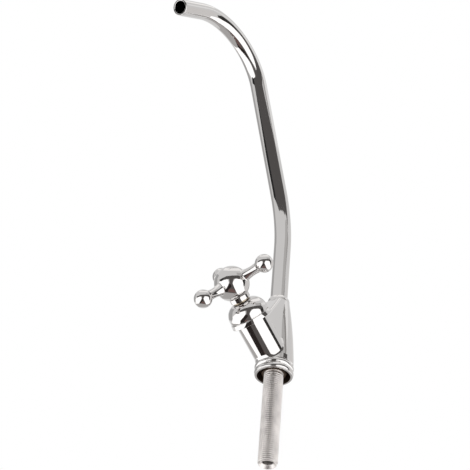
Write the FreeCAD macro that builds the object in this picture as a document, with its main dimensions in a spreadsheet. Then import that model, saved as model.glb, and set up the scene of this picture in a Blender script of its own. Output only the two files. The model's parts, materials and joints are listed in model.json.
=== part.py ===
import FreeCAD, Part
import math
import os
import re

import Sketcher
from FreeCAD import Placement, Rotation, Vector

# Deck mounted drinking water faucet: a cast body with a long swivel spout on its upright
# column and a quarter turn ceramic disc valve in its inclined barrel.
# Frame: millimetres, +Z up, origin at the centre of the body's foot on the deck surface.
# The spout and the valve lean towards -Y, and X = 0 is the plane of the column and barrel.

# Every driving dimension, as name, value and meaning. "Along the barrel" is measured from
# the point where the barrel's axis meets the column's axis.
SIZES = [
    ("foot_diameter", 21.5, "foot of the body on the deck"),
    ("foot_edge", 0.4, "rounding of the foot's lower edge"),
    ("foot_lip", 0.5, "height of the plain lip under the lower bead"),
    ("bead_rise", 0.35, "how far the two turned beads stand out"),
    ("lower_bead_height", 2.6, "height of the lower bead"),
    ("bead_gap", 0.9, "width of the groove between the beads"),
    ("upper_bead_height", 2.2, "height of the upper bead"),
    ("line_groove_width", 0.6, "width of the fine groove over the upper bead"),
    ("groove_depth", 0.5, "depth of the turned grooves"),
    ("foot_height", 10.0, "height where the foot turns into the tapered riser"),
    ("riser_top_diameter", 12.7, "riser at the shoulder of the spout socket"),
    ("riser_bulge_radius", 330.0, "radius of the riser's long convex side"),
    ("shoulder_radius", 4.5, "rounding of that shoulder"),
    ("column_height", 51.6, "height of the socket's mouth"),
    ("shoulder_drop", 3.1, "socket's shoulder below its mouth"),
    ("shoulder_trim_reach", 6.0, "how far the shoulder is cleared sideways"),
    ("shoulder_trim_drop", 4.0, "how far that clearing falls away"),
    ("mouth_ring_diameter", 10.9, "narrow flat ring round the mouth"),
    ("cup_diameter", 18.9, "recess under the foot"),
    ("cup_depth", 5.5, "depth of that recess"),
    ("boss_diameter", 13.5, "shank boss inside the recess"),
    ("boss_setback", 1.4, "height of the boss end over the deck"),
    ("shank_diameter", 11.11, "threaded shank, 7/16 inch"),
    ("shank_length", 56.0, "shank below the deck"),
    ("shank_bore", 6.4, "bore for a 1/4 inch tube"),
    ("shank_tube_depth", 14.0, "depth of that bore from the shank's end"),
    ("shank_waterway", 5.0, "waterway above the tube bore"),
    ("countersink_diameter", 9.6, "mouth of the countersink for the tube's sleeve"),
    ("countersink_depth", 1.8, "depth of the countersink"),
    ("shank_chamfer", 0.6, "chamfer on the shank's ends"),
    ("shank_hole_depth", 8.2, "depth of the threaded hole in the boss"),
    ("runout_width", 1.1, "thread run-out groove just under the boss"),
    ("runout_diameter", 9.8, "bottom of that groove"),
    ("shank_seal_thickness", 1.2, "flat washer above the shank"),
    ("shank_seal_margin", 0.25, "radial gap of the washer round the waterway"),
    ("thread_clearance", 0.05, "radial gap of the plain thread diameters"),
    ("valve_angle", 54.0, "lean of the valve barrel from upright"),
    ("valve_height", 10.0, "height where the barrel's axis meets the column's"),
    ("barrel_diameter", 18.9, "outside of the barrel"),
    ("barrel_reach", 30.0, "mouth of the barrel, along the barrel"),
    ("chamber_diameter", 14.0, "water chamber in the barrel"),
    ("chamber_floor", 8.5, "floor of the chamber, along the barrel"),
    ("barrel_thread_diameter", 15.8, "thread for the headwork"),
    ("barrel_thread_start", 20.4, "lower end of that thread, along the barrel"),
    ("counterbore_diameter", 17.8, "seat of the headwork's O ring in the mouth"),
    ("counterbore_depth", 1.2, "depth of that seat"),
    ("inlet_drilling", 4.4, "drilling from the shank hole to the chamber"),
    ("outlet_drilling", 4.0, "drilling from the spout socket to the chamber"),
    ("outlet_angle", 17.4, "lean of that drilling from upright"),
    ("outlet_reach", 13.2, "its chamber end, along the barrel"),
    ("outlet_rise", 5.5, "its chamber end, over the barrel's axis"),
    ("web_setback", 0.32, "gap between the web's front and the bonnet's bead"),
    ("web_top_reach", 3.96, "front of the web, run on to the socket's mouth"),
    ("web_top_width", 11.94, "web across its flat sides at the socket's mouth"),
    ("web_inset", 0.1, "how far each flat side of the web starts inside the barrel's side"),
    ("web_edge_radius", 1.5, "rounding of the web's two top edges"),
    ("root_radius", 3.0, "fillet where the barrel leaves the foot, the riser and the web"),
    ("socket_depth", 14.6, "depth of the spout socket"),
    ("socket_clearance", 0.08, "radial running gap of the tube in the socket"),
    ("tube_diameter", 10.0, "spout tube"),
    ("tube_wall", 1.15, "wall of the spout tube"),
    ("tube_depth", 5.6, "depth of the tube's lower end in the socket"),
    ("tube_rise", 42.0, "upright run of the tube"),
    ("lean_radius", 100.0, "radius of the first, gentle bend"),
    ("lean_angle", 21.0, "angle of that bend"),
    ("lean_length", 70.5, "straight run between the bends"),
    ("hook_radius", 39.5, "radius of the upper bend"),
    ("hook_angle", 99.0, "angle of the upper bend"),
    ("tip_length", 20.5, "straight run at the mouth"),
    ("lip_radius", 0.35, "rounding of the mouth's lip"),
    ("insert_clearance", 0.03, "radial running gap of the insert in the socket"),
    ("insert_height", 7.8, "sealing insert below the tube"),
    ("insert_spigot", 4.0, "length of its spigot in the tube"),
    ("spigot_clearance", 0.03, "radial gap of the spigot"),
    ("insert_bore", 5.2, "waterway through the insert"),
    ("insert_flange", 1.3, "land under its lower seal groove"),
    ("seal_groove_width", 1.5, "width of its two seal grooves"),
    ("seal_land", 1.1, "land between them"),
    ("spout_seal_section", 1.2, "section of the spout's O rings"),
    ("ring_clearance", 0.02, "gap between an O ring and its groove or bore"),
    ("clip_setback", 0.6, "insert above its clip groove"),
    ("clip_height", 0.8, "height of the retaining clip"),
    ("clip_diameter", 11.0, "outside of the clip in its groove"),
    ("clip_bore", 8.8, "inside of the clip"),
    ("clip_opening", 3.0, "gap between the ends of the split clip"),
    ("clip_clearance", 0.1, "gap round the clip in the insert"),
    ("bonnet_overlap", 3.3, "length of the bonnet over the barrel's mouth"),
    ("bonnet_ring_diameter", 24.1, "bead round the bonnet's lower end"),
    ("bonnet_ring_height", 2.6, "height of that bead"),
    ("bonnet_ring_taper", 0.25, "how much the bead narrows upwards"),
    ("bonnet_groove_width", 0.35, "fine groove above the bead"),
    ("bonnet_groove_depth", 0.35, "depth of that groove, from the bonnet's side"),
    ("bonnet_diameter", 23.0, "side of the bonnet"),
    ("bonnet_dome_rise", 1.5, "start of the dome past the barrel's mouth"),
    ("bonnet_dome_radius", 7.8, "shoulder of the dome"),
    ("bonnet_wall", 1.2, "wall of the dome"),
    ("bonnet_roof", 1.7, "thickness of the dome's flat top"),
    ("bonnet_hole", 9.9, "hole in the dome for the headwork's neck"),
    ("bonnet_fit", 0.05, "radial gap of the bonnet on the barrel"),
    ("disc_diameter", 12.0, "ceramic discs"),
    ("disc_clearance", 0.08, "radial gap of the discs in the skirt"),
    ("fixed_disc_thickness", 2.4, "lower, keyed disc"),
    ("moving_disc_thickness", 2.6, "upper, turning disc"),
    ("port_inner_diameter", 3.8, "middle of the discs between the ports"),
    ("port_outer_diameter", 9.8, "outer edge of the fixed disc's ports"),
    ("port_angle", 76.0, "opening of each port"),
    ("notch_extra_angle", 8.0, "how much wider the moving disc's notches open"),
    ("key_width", 2.0, "keys of the fixed disc"),
    ("key_reach", 0.5, "how far the keys stand out"),
    ("key_clearance", 0.05, "gap round the keys"),
    ("seat_seal_thickness", 1.5, "seal between the chamber floor and the fixed disc"),
    ("seat_seal_bore", 9.9, "bore of that seal"),
    ("skirt_diameter", 13.4, "lower skirt of the headwork"),
    ("skirt_setback", 0.7, "gap between the skirt and the chamber floor"),
    ("window_angle", 80.0, "opening of each window in the skirt"),
    ("headwork_flange", 18.6, "flange on the barrel's mouth"),
    ("flange_height", 0.8, "height of that flange"),
    ("headwork_hex", 16.0, "hexagon across its flats"),
    ("hex_height", 3.0, "height of the hexagon"),
    ("neck_shoulder_diameter", 12.0, "shoulder under the bonnet's roof"),
    ("neck_diameter", 9.6, "neck through the bonnet, visible under the handle"),
    ("neck_rise", 0.4, "neck above the bonnet"),
    ("headwork_seal_section", 1.0, "section of the O ring under the flange"),
    ("stem_diameter", 7.0, "valve stem"),
    ("stem_clearance", 0.04, "radial running gap of the stem"),
    ("stem_foot_diameter", 11.2, "round foot of the stem"),
    ("stem_foot_thickness", 1.6, "thickness of the foot"),
    ("drive_bar_width", 3.0, "bar that turns the moving disc"),
    ("drive_bar_length", 10.0, "length of that bar"),
    ("drive_bar_height", 1.2, "height of that bar"),
    ("drive_clearance", 0.05, "gap each side of the bar in its slot"),
    ("stop_width_angle", 30.0, "width of the quarter turn stop"),
    ("stop_diameter", 9.0, "inner end of the stop"),
    ("stop_clearance", 0.15, "gap at the end of the stop"),
    ("stop_slack", 2.0, "free angle past each end of the travel"),
    ("quarter_turn", 90.0, "travel of the handle"),
    ("thrust_play", 0.03, "end play between the stem's foot and its washer"),
    ("thrust_washer_thickness", 0.6, "slip washer above the stem's foot"),
    ("thrust_washer_diameter", 11.6, "outside of that washer"),
    ("stem_seal_section", 0.92, "section of the stem's O rings"),
    ("stem_seal_groove", 1.2, "width of their grooves"),
    ("stem_seal_first", 21.0, "lower groove, along the barrel"),
    ("stem_seal_pitch", 4.0, "distance between the grooves"),
    ("circlip_thickness", 0.5, "clip above the headwork's neck"),
    ("circlip_gap", 0.05, "gap between the neck and that clip"),
    ("circlip_diameter", 9.0, "outside of that clip"),
    ("circlip_bore", 5.6, "groove under that clip"),
    ("circlip_mouth", 5.0, "opening of that clip"),
    ("spline_diameter", 6.2, "root of the splined end"),
    ("spline_count", 12, "splines on the stem and in the hub"),
    ("spline_rise", 0.5, "height of each spline"),
    ("spline_width", 0.7, "width of each spline"),
    ("spline_length", 9.0, "length of the splined end"),
    ("spline_clearance", 0.06, "gap round the splines"),
    ("stem_end_gap", 0.5, "room past the stem's end in the hub"),
    ("handle_gap", 0.7, "gap between the bonnet's top and the handle's collar"),
    ("collar_diameter", 11.7, "handle's collar"),
    ("collar_recess_diameter", 10.0, "recess under the collar, over the clip"),
    ("collar_recess_depth", 1.0, "depth of that recess"),
    ("hub_diameter", 20.0, "handle's round hub"),
    ("hub_rise", 10.5, "middle of the hub over the collar's lower face"),
    ("ball_diameter", 10.4, "ball on each arm"),
    ("arm_reach", 22.85, "hub centre to ball centre"),
    ("arm_rise", 6.5, "angle by which the arms rise"),
    ("arm_count", 3, "arms round the hub"),
    ("arm_phase", 13.0, "turn of an arm about the barrel, valve closed"),
    ("arm_root_diameter", 7.4, "arm where it leaves the hub"),
    ("arm_sink", 0.4, "how far the arm's root is sunk in the hub"),
    ("arm_neck_diameter", 6.2, "arm where it meets its ball"),
    ("arm_hollow_radius", 19.0, "hollow side of the arm"),
    ("arm_fillet", 0.9, "fillet at both ends of the arm"),
    ("set_screw_diameter", 4.0, "set screw in the hub"),
    ("set_screw_length", 4.2, "length of the screw"),
    ("set_screw_rise", 5.5, "axis of the screw over the collar's lower face"),
    ("set_screw_start", 3.9, "inner end of the screw from the stem's axis"),
    ("set_screw_hex", 2.0, "hexagon socket of the screw"),
    ("set_screw_hex_depth", 1.8, "depth of that socket"),
    ("cut_margin", 1.0, "how far cutting outlines run past the solid"),
]
NAMES = {name for name, value, meaning in SIZES}

doc = FreeCAD.newDocument("faucet")
sheet = doc.addObject("Spreadsheet::Sheet", "Sizes")
for row, (name, value, meaning) in enumerate(SIZES, start=1):
    sheet.set(f"A{row}", meaning)
    sheet.set(f"B{row}", str(value))
    sheet.setAlias(f"B{row}", name)
doc.recompute()


def bound(text):
    """Expression text with each dimension's name pointed at its cell."""
    return re.sub(r"[a-z][a-z_0-9]*", lambda word: "Sizes." + word[0] if word[0] in NAMES else word[0], text)


def size(text):
    """Present value of an expression in dimension names."""
    value = sheet.evalExpression(bound(text))
    return float(getattr(value, "Value", value))


# Frames: the shift and turn, in the plane X = 0, of a sketch whose own y axis is a turning axis
COLUMN = (("0", "0", "0"), "0")
BARREL = (("0", "valve_height", "0"), "valve_angle")


def new_body(label, frame=COLUMN, turn="0"):
    """A body whose own Z axis is the frame's turning axis."""
    body = doc.addObject("PartDesign::Body", label)
    body.Label = label
    lean = f"placement(vector(0; 0; {frame[0][1]}); rotation(vector(1; 0; 0); {frame[1]}))"
    spin = f"placement(vector(0; 0; 0); rotation(vector(0; 0; 1); {turn}))"
    body.setExpression("Placement", bound(lean + " * " + spin))
    return body


def new_sketch(body, label, plane, shift=("0", "0", "0"), turn="0"):
    sketch = body.newObject("Sketcher::SketchObject", label)
    base = [feature for feature in body.Origin.OriginFeatures if feature.Role == plane][0]
    sketch.AttachmentSupport = (base, [""])
    sketch.MapMode = "FlatFace"
    sketch.AttachmentOffset = Placement(Vector(0, 0, 0), Rotation(Vector(0, 0, 1), 10))
    for axis, text in zip("xyz", shift):
        sketch.setExpression(f".AttachmentOffset.Base.{axis}", bound(text))
    sketch.setExpression(".AttachmentOffset.Rotation.Angle", bound(turn))
    return sketch


def bind(sketch, kind, *terms, text):
    """Add a constraint whose value follows an expression."""
    index = sketch.addConstraint(Sketcher.Constraint(kind, *terms, size(text)))
    sketch.setExpression(f"Constraints[{index}]", bound(text))


def hold_point(sketch, edge, end, corner):
    """Hold one point of an edge at its two expressions."""
    for kind, axis, text in (("DistanceX", -2, corner[0]), ("DistanceY", -1, corner[1])):
        if text == "0":
            sketch.addConstraint(Sketcher.Constraint("PointOnObject", edge, end, axis))
        else:
            bind(sketch, kind, -1, 1, edge, end, text=text)


def add_arc(sketch, start, end, text):
    """Arc whose centre is left of the way from start to end, or right for a negative radius."""
    radius = size(text)
    chord = end - start
    left = Vector(-chord.y, chord.x, 0).normalize()
    rise = math.sqrt(max(radius * radius - chord.Length * chord.Length / 4, 0))
    centre = (start + end) / 2 + left * math.copysign(rise, radius)
    circle = Part.Circle(centre, Vector(0, 0, 1), abs(radius))
    ends = (start, end) if radius > 0 else (end, start)
    arc = Part.ArcOfCircle(circle, *[circle.parameter(point) for point in ends])
    edge = sketch.addGeometry(arc, False)
    bind(sketch, "Radius", edge, text=f"abs({text})")
    return (edge, 1, 2) if radius > 0 else (edge, 2, 1)


def add_outline(sketch, corners, arcs=None, closed=True):
    """Lines and arcs through corners. arcs gives the radius of the edge that leaves a corner."""
    arcs = arcs or {}
    points = [Vector(size(across), size(up), 0) for across, up in corners]
    count = len(points) if closed else len(points) - 1
    edges = []
    for index in range(count):
        start, end = points[index], points[(index + 1) % len(points)]
        if index in arcs:
            edges.append(add_arc(sketch, start, end, arcs[index]))
        else:
            edges.append((sketch.addGeometry(Part.LineSegment(start, end), False), 1, 2))
    for index, (edge, first, last) in enumerate(edges):
        hold_point(sketch, edge, first, corners[index])
        if closed or index < count - 1:
            following = edges[(index + 1) % count]
            sketch.addConstraint(Sketcher.Constraint("Coincident", edge, last, following[0], following[1]))
        else:
            hold_point(sketch, edge, last, corners[-1])


def add_circle(sketch, diameter, across="0", up="0"):
    centre = Vector(size(across), size(up), 0)
    edge = sketch.addGeometry(Part.Circle(centre, Vector(0, 0, 1), size(diameter) / 2), False)
    bind(sketch, "Diameter", edge, text=diameter)
    hold_point(sketch, edge, 3, (across, up))


def add_feature(body, kind, label, sketch, cuts, **settings):
    """Add a sketch feature and check that it really added or removed material."""
    before = body.Shape.Volume if body.Shape.Solids else 0.0
    feature = body.newObject("PartDesign::" + kind, label)
    feature.Profile = sketch
    for name, setting in settings.items():
        if isinstance(setting, str) and name in ("Length", "Angle"):
            feature.setExpression(name, bound(setting))
        else:
            setattr(feature, name, setting)
    doc.recompute()
    change = body.Shape.Volume - before
    if (change > 0) == cuts or abs(change) < 1e-6:
        raise RuntimeError(f"{body.Label}: {label} changed the volume by {change:.4f}")
    return feature


def turn_profile(body, label, corners, arcs=None, cuts=False, frame=COLUMN, angle=360.0):
    """Revolve an outline of (radius, height) pairs, as added or removed material."""
    sketch = new_sketch(body, label + "_outline", "YZ_Plane", *frame)
    add_outline(sketch, corners, arcs)
    return spin_sketch(body, label, sketch, cuts, angle)


def spin_sketch(body, label, sketch, cuts=False, angle=360.0):
    settings = {"ReferenceAxis": (sketch, ["V_Axis"]), "Angle": angle}
    if angle != 360.0:
        settings["Midplane"] = True
    return add_feature(body, "Groove" if cuts else "Revolution", label, sketch, cuts, **settings)


def add_ring(body, major, minor, height):
    """A ring of round section, from its two radii and its height."""
    sketch = new_sketch(body, body.Name + "_section", "YZ_Plane")
    add_circle(sketch, f"2 * ({minor})", major, height)
    return spin_sketch(body, body.Name + "_ring", sketch)


def box(low, high):
    """Corners of an upright rectangle between two opposite corners."""
    return [(low[0], low[1]), (high[0], low[1]), (high[0], high[1]), (low[0], high[1])]


def sector(inner, outer, middle, opening):
    """Corners and arcs of a ring sector between two radii."""
    corners = []
    for radius, side in ((inner, "-"), (outer, "-"), (outer, "+"), (inner, "+")):
        angle = f"(({middle}) {side} ({opening}) / 2)"
        corners.append((f"({radius}) * cos({angle})", f"({radius}) * sin({angle})"))
    return corners, {1: outer, 3: f"-1 * ({inner})"}


def hexagon(flats):
    """Corners of a hexagon from the size across its flats."""
    corner = f"({flats} / 2 / cos(30))"
    turns = [60 * side + 30 for side in range(6)]
    return [(f"({corner} * cos({turn}))", f"({corner} * sin({turn}))") for turn in turns]


def raise_outline(body, label, corners, arcs, height, length, cuts=False, hole=None):
    """Extrude an outline along the body's own Z axis, from a height and over a length."""
    sketch = new_sketch(body, label + "_outline", "XY_Plane", ("0", "0", height))
    add_outline(sketch, corners, arcs)
    if hole:
        add_circle(sketch, hole)
    kind = "Pocket" if cuts else "Pad"
    return add_feature(body, kind, label, sketch, cuts, Length=length, Reversed=cuts)


def repeat_round(body, label, feature, count):
    """Repeat a feature round the body's own Z axis."""
    ring = body.newObject("PartDesign::PolarPattern", label)
    ring.Originals = [feature]
    ring.Axis = ([item for item in body.Origin.OriginFeatures if item.Role == "Z_Axis"][0], [""])
    ring.Angle = 360
    ring.setExpression("Occurrences", bound(count))
    body.Tip = ring
    doc.recompute()
    return ring


def round_edges(body, label, radius, wanted):
    """Fillet the edges that a test picks out."""
    base = body.Tip
    picked = [f"Edge{number}" for number, edge in enumerate(base.Shape.Edges, start=1) if wanted(edge)]
    if not picked:
        raise RuntimeError(f"{body.Label}: {label} found no edge")
    fillet = body.newObject("PartDesign::Fillet", label)
    fillet.Base = (base, picked)
    fillet.setExpression("Radius", bound(radius))
    doc.recompute()
    return fillet


def samples(edge):
    """Five points along an edge."""
    first, last = edge.ParameterRange
    return [edge.valueAt(first + (last - first) * step / 4) for step in range(5)]


def off_barrel(point):
    """Distance along the barrel, height over its axis and distance from it."""
    lean = math.radians(size("valve_angle"))
    up = point.z - size("valve_height")
    along = -point.y * math.sin(lean) + up * math.cos(lean)
    over = point.y * math.cos(lean) + up * math.sin(lean)
    return along, over, math.hypot(point.x, over)


# Heights and radii that several pieces share
FOOT = "foot_diameter / 2"
LOWER_BEAD_TOP = "(foot_lip + lower_bead_height)"
UPPER_BEAD_START = f"({LOWER_BEAD_TOP} + bead_gap)"
UPPER_BEAD_TOP = f"({UPPER_BEAD_START} + upper_bead_height)"
RISER_TOP = "riser_top_diameter / 2"
SHOULDER = "(column_height - shoulder_drop)"
MOUTH_RING = "mouth_ring_diameter / 2"
SHANK = "shank_diameter / 2"
SHANK_HOLE_TOP = "(boss_setback + shank_hole_depth)"
SHANK_TOP = f"({SHANK_HOLE_TOP} - shank_seal_thickness)"
SHANK_END = "-1 * shank_length"
SOCKET = "(tube_diameter / 2 + socket_clearance)"
SOCKET_FLOOR = "(column_height - socket_depth)"
TUBE_START = "(column_height - tube_depth)"
TUBE_UPRIGHT = f"({TUBE_START} + tube_rise)"
TUBE_BORE = "(tube_diameter / 2 - tube_wall)"
CLIP_TOP = f"({TUBE_START} - clip_setback)"
CLIP_START = f"({CLIP_TOP} - clip_height)"
BONNET_START = "(barrel_reach - bonnet_overlap)"
DOME_START = "(barrel_reach + bonnet_dome_rise)"
BONNET_TOP = f"({DOME_START} + bonnet_dome_radius)"
BONNET_SEAT = f"({BONNET_TOP} - bonnet_roof)"
NECK_TOP = f"({BONNET_TOP} + neck_rise)"
DISC = "disc_diameter / 2"
DISC_BORE = f"({DISC} + disc_clearance)"
DISC_START = "(chamber_floor + seat_seal_thickness)"
MOVING_START = f"({DISC_START} + fixed_disc_thickness)"
MOVING_TOP = f"({MOVING_START} + moving_disc_thickness)"
STEM_FOOT_TOP = f"({MOVING_TOP} + stem_foot_thickness)"
WASHER_START = f"({STEM_FOOT_TOP} + thrust_play)"
WASHER_TOP = f"({WASHER_START} + thrust_washer_thickness)"
STEM = "stem_diameter / 2"
STEM_BORE = f"({STEM} + stem_clearance)"
CIRCLIP_START = f"({NECK_TOP} + circlip_gap)"
CIRCLIP_TOP = f"({CIRCLIP_START} + circlip_thickness)"
SPLINE_TOP = f"({CIRCLIP_TOP} + spline_length)"
HANDLE_START = f"({BONNET_TOP} + handle_gap)"
HUB_CENTRE = f"({HANDLE_START} + hub_rise)"
SCREW_AXIS = f"({HANDLE_START} + set_screw_rise)"
SPINDLE_TURN = "arm_phase + 90"
STOP_MIDDLE = "180"


def seal_bottom(bore, section):
    """Bottom radius of a groove for an O ring that seals against a bore."""
    return f"({bore} - 2 * ring_clearance - {section})"


def seal_major(bore, section):
    return f"({bore} - ring_clearance - {section} / 2)"


SPOUT_SEAL_BOTTOM = seal_bottom(SOCKET, "spout_seal_section")
STEM_SEAL_BOTTOM = seal_bottom(STEM_BORE, "stem_seal_section")
LOWER_SEAL = f"({TUBE_START} - insert_height + insert_flange)"
UPPER_SEAL = f"({LOWER_SEAL} + seal_groove_width + seal_land)"


def make_body():
    """Cast body: flat sided web, turned column with two beads, inclined barrel, waterways."""
    body = new_body("body")
    rise = "(column_height - valve_height)"
    top_along = f"({rise} * cos(valve_angle) + web_top_reach * sin(valve_angle))"
    top_over = f"({rise} * sin(valve_angle) - web_top_reach * cos(valve_angle))"
    behind, bead = f"({BONNET_START} - web_setback)", "bonnet_ring_diameter / 2"
    low_along = f"min({behind}; {behind} - {bead} * ({top_along} - {behind}) / ({top_over} - {bead}))"
    front = (f"-1 * {low_along} * sin(valve_angle)", f"valve_height + {low_along} * cos(valve_angle)")
    corners = [("0", "valve_height"), ("0", "column_height"), ("-1 * web_top_reach", "column_height"), front]
    side = new_sketch(body, "web_side", "YZ_Plane")
    add_outline(side, corners)
    low_half = "(barrel_diameter / 2 - web_inset)"
    add_feature(body, "Pad", "web", side, False, Length=f"2 * {low_half}", Midplane=True)

    slopes = new_sketch(body, "web_slopes", "XZ_Plane")
    for sign in ("", "-1 * "):
        top, low, far = f"{sign}web_top_width / 2", f"{sign}{low_half}", f"{sign}({low_half} + cut_margin)"
        loop = [(top, "column_height"), (low, "valve_height"), (far, "valve_height"), (far, "column_height")]
        add_outline(slopes, loop)
    add_feature(body, "Pocket", "web_taper", slopes, True, Type="ThroughAll", Midplane=True)
    low_front = Vector(0, size(front[0]), size(front[1]))
    high_front = Vector(0, -size("web_top_reach"), size("column_height"))
    along_front = (high_front - low_front).normalize()

    def beside_front(edge):
        """Whether an edge runs up one side of the web's sloping front."""
        points = samples(edge)
        flat = [Vector(0, point.y, point.z) - low_front for point in points]
        return all(abs(point.x) > size("cut_margin") for point in points) and all(
            point.cross(along_front).Length < 0.01 for point in flat)

    round_edges(body, "web_edges", "web_edge_radius", beside_front)

    cleared = f"({RISER_TOP} + shoulder_trim_reach)"
    shoulder = [(MOUTH_RING, "column_height"), (RISER_TOP, SHOULDER),
                (cleared, f"({SHOULDER} - shoulder_trim_drop)"), (cleared, "(column_height + cut_margin)"),
                (MOUTH_RING, "(column_height + cut_margin)")]
    turn_profile(body, "shoulder_trim", shoulder, {0: "-1 * shoulder_radius"}, cuts=True)

    column = [("0", "0"), (f"{FOOT} - foot_edge", "0"), (FOOT, "foot_edge"), (FOOT, "foot_height"),
              (RISER_TOP, SHOULDER), (MOUTH_RING, "column_height"), ("0", "column_height")]
    turn_profile(body, "column", column, {1: "foot_edge", 3: "riser_bulge_radius", 4: "shoulder_radius"})
    turn_profile(body, "barrel", box(("0", "0"), ("barrel_diameter / 2", "barrel_reach")), frame=BARREL)

    def round_barrel(edge):
        """Whether an edge lies where the barrel sinks into the foot, the riser or a side of the web."""
        found = [off_barrel(point) for point in samples(edge)]
        nearest = min(along for along, over, away in found)
        return nearest < size("barrel_reach / 2") and all(
            abs(away - size("barrel_diameter / 2")) < 0.01 for along, over, away in found)

    round_edges(body, "barrel_root", "root_radius", round_barrel)
    seat = box(("barrel_diameter / 2", behind), (f"{bead} + cut_margin", "barrel_reach + cut_margin"))
    turn_profile(body, "bonnet_face", seat, cuts=True, frame=BARREL)
    inside = f"{FOOT} - groove_depth"
    for label, low, high, rise in (("lower_bead", "foot_lip", LOWER_BEAD_TOP, "lower_bead_height"),
                                   ("upper_bead", UPPER_BEAD_START, UPPER_BEAD_TOP, "upper_bead_height")):
        crown = f"(({rise} * {rise} / 4 + bead_rise * bead_rise) / (2 * bead_rise))"
        turn_profile(body, label, [(inside, low), (FOOT, low), (FOOT, high), (inside, high)], {1: crown})
    for label, low, width, angle in (("bead_groove", LOWER_BEAD_TOP, "bead_gap", 360.0),
                                     ("line_groove", UPPER_BEAD_TOP, "line_groove_width", 270.0)):
        outside = f"{FOOT} + cut_margin"
        vee = [(inside, f"{low} + {width} / 2"), (FOOT, low), (outside, low), (outside, f"{low} + {width}"),
               (FOOT, f"{low} + {width}")]
        turn_profile(body, label, vee, cuts=True, angle=angle)

    shank_hole = f"{SHANK} + thread_clearance"
    underside = [("0", "-1 * cut_margin"), ("cup_diameter / 2", "-1 * cut_margin"),
                 ("cup_diameter / 2", "cup_depth"), ("boss_diameter / 2", "cup_depth"),
                 ("boss_diameter / 2", "boss_setback"), (shank_hole, "boss_setback"),
                 (shank_hole, SHANK_HOLE_TOP),
                 ("shank_waterway / 2", SHANK_HOLE_TOP), ("shank_waterway / 2", "valve_height + cut_margin"),
                 ("0", "valve_height + cut_margin")]
    turn_profile(body, "underside", underside, cuts=True)
    thread = "(barrel_thread_diameter / 2)"
    cavity = [("0", "0"), ("inlet_drilling / 2", "0"), ("inlet_drilling / 2", "chamber_floor"),
              ("chamber_diameter / 2", "chamber_floor"), ("chamber_diameter / 2", "barrel_thread_start"),
              (thread, f"barrel_thread_start + {thread} - chamber_diameter / 2"),
              (thread, "barrel_reach - counterbore_depth"),
              ("counterbore_diameter / 2", "barrel_reach - counterbore_depth"),
              ("counterbore_diameter / 2", "barrel_reach + cut_margin"), ("0", "barrel_reach + cut_margin")]
    turn_profile(body, "valve_cavity", cavity, cuts=True, frame=BARREL)
    socket = [("0", SOCKET_FLOOR), (SOCKET, SOCKET_FLOOR), (SOCKET, CLIP_START),
              ("clip_diameter / 2", CLIP_START), ("clip_diameter / 2", CLIP_TOP), (SOCKET, CLIP_TOP),
              (SOCKET, "column_height + cut_margin"), ("0", "column_height + cut_margin")]
    turn_profile(body, "spout_socket", socket, cuts=True)
    foot = ("0 - outlet_reach * sin(valve_angle) + outlet_rise * cos(valve_angle)",
            "valve_height + outlet_reach * cos(valve_angle) + outlet_rise * sin(valve_angle)")
    outlet = ((foot[0], foot[1], "0"), "-1 * outlet_angle")
    reach = f"({SOCKET_FLOOR} + cut_margin - ({foot[1]})) / cos(outlet_angle)"
    drilling = box(("0", "0"), ("outlet_drilling / 2", reach))
    turn_profile(body, "outlet_passage", drilling, cuts=True, frame=outlet)


def make_inlet():
    """Threaded shank with its tube bore, and the flat washer above it."""
    shank = new_body("threaded_shank")
    bore, waterway = "shank_bore / 2", "shank_waterway / 2"
    runout_start = "(boss_setback - runout_width)"
    outline = [("countersink_diameter / 2", SHANK_END), (f"({SHANK} - shank_chamfer)", SHANK_END),
               (SHANK, f"({SHANK_END} + shank_chamfer)"), (SHANK, runout_start),
               ("runout_diameter / 2", runout_start), ("runout_diameter / 2", "boss_setback"),
               (SHANK, "boss_setback"), (SHANK, f"{SHANK_TOP} - shank_chamfer"),
               (f"{SHANK} - shank_chamfer", SHANK_TOP), (waterway, SHANK_TOP),
               (waterway, f"{SHANK_END} + shank_tube_depth"), (bore, f"{SHANK_END} + shank_tube_depth"),
               (bore, f"{SHANK_END} + countersink_depth")]
    turn_profile(shank, "shank", outline)
    seal = new_body("shank_seal")
    inner = f"({waterway} + shank_seal_margin)"
    turn_profile(seal, "flat_ring", box((inner, SHANK_TOP), (SHANK, SHANK_HOLE_TOP)))


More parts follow.
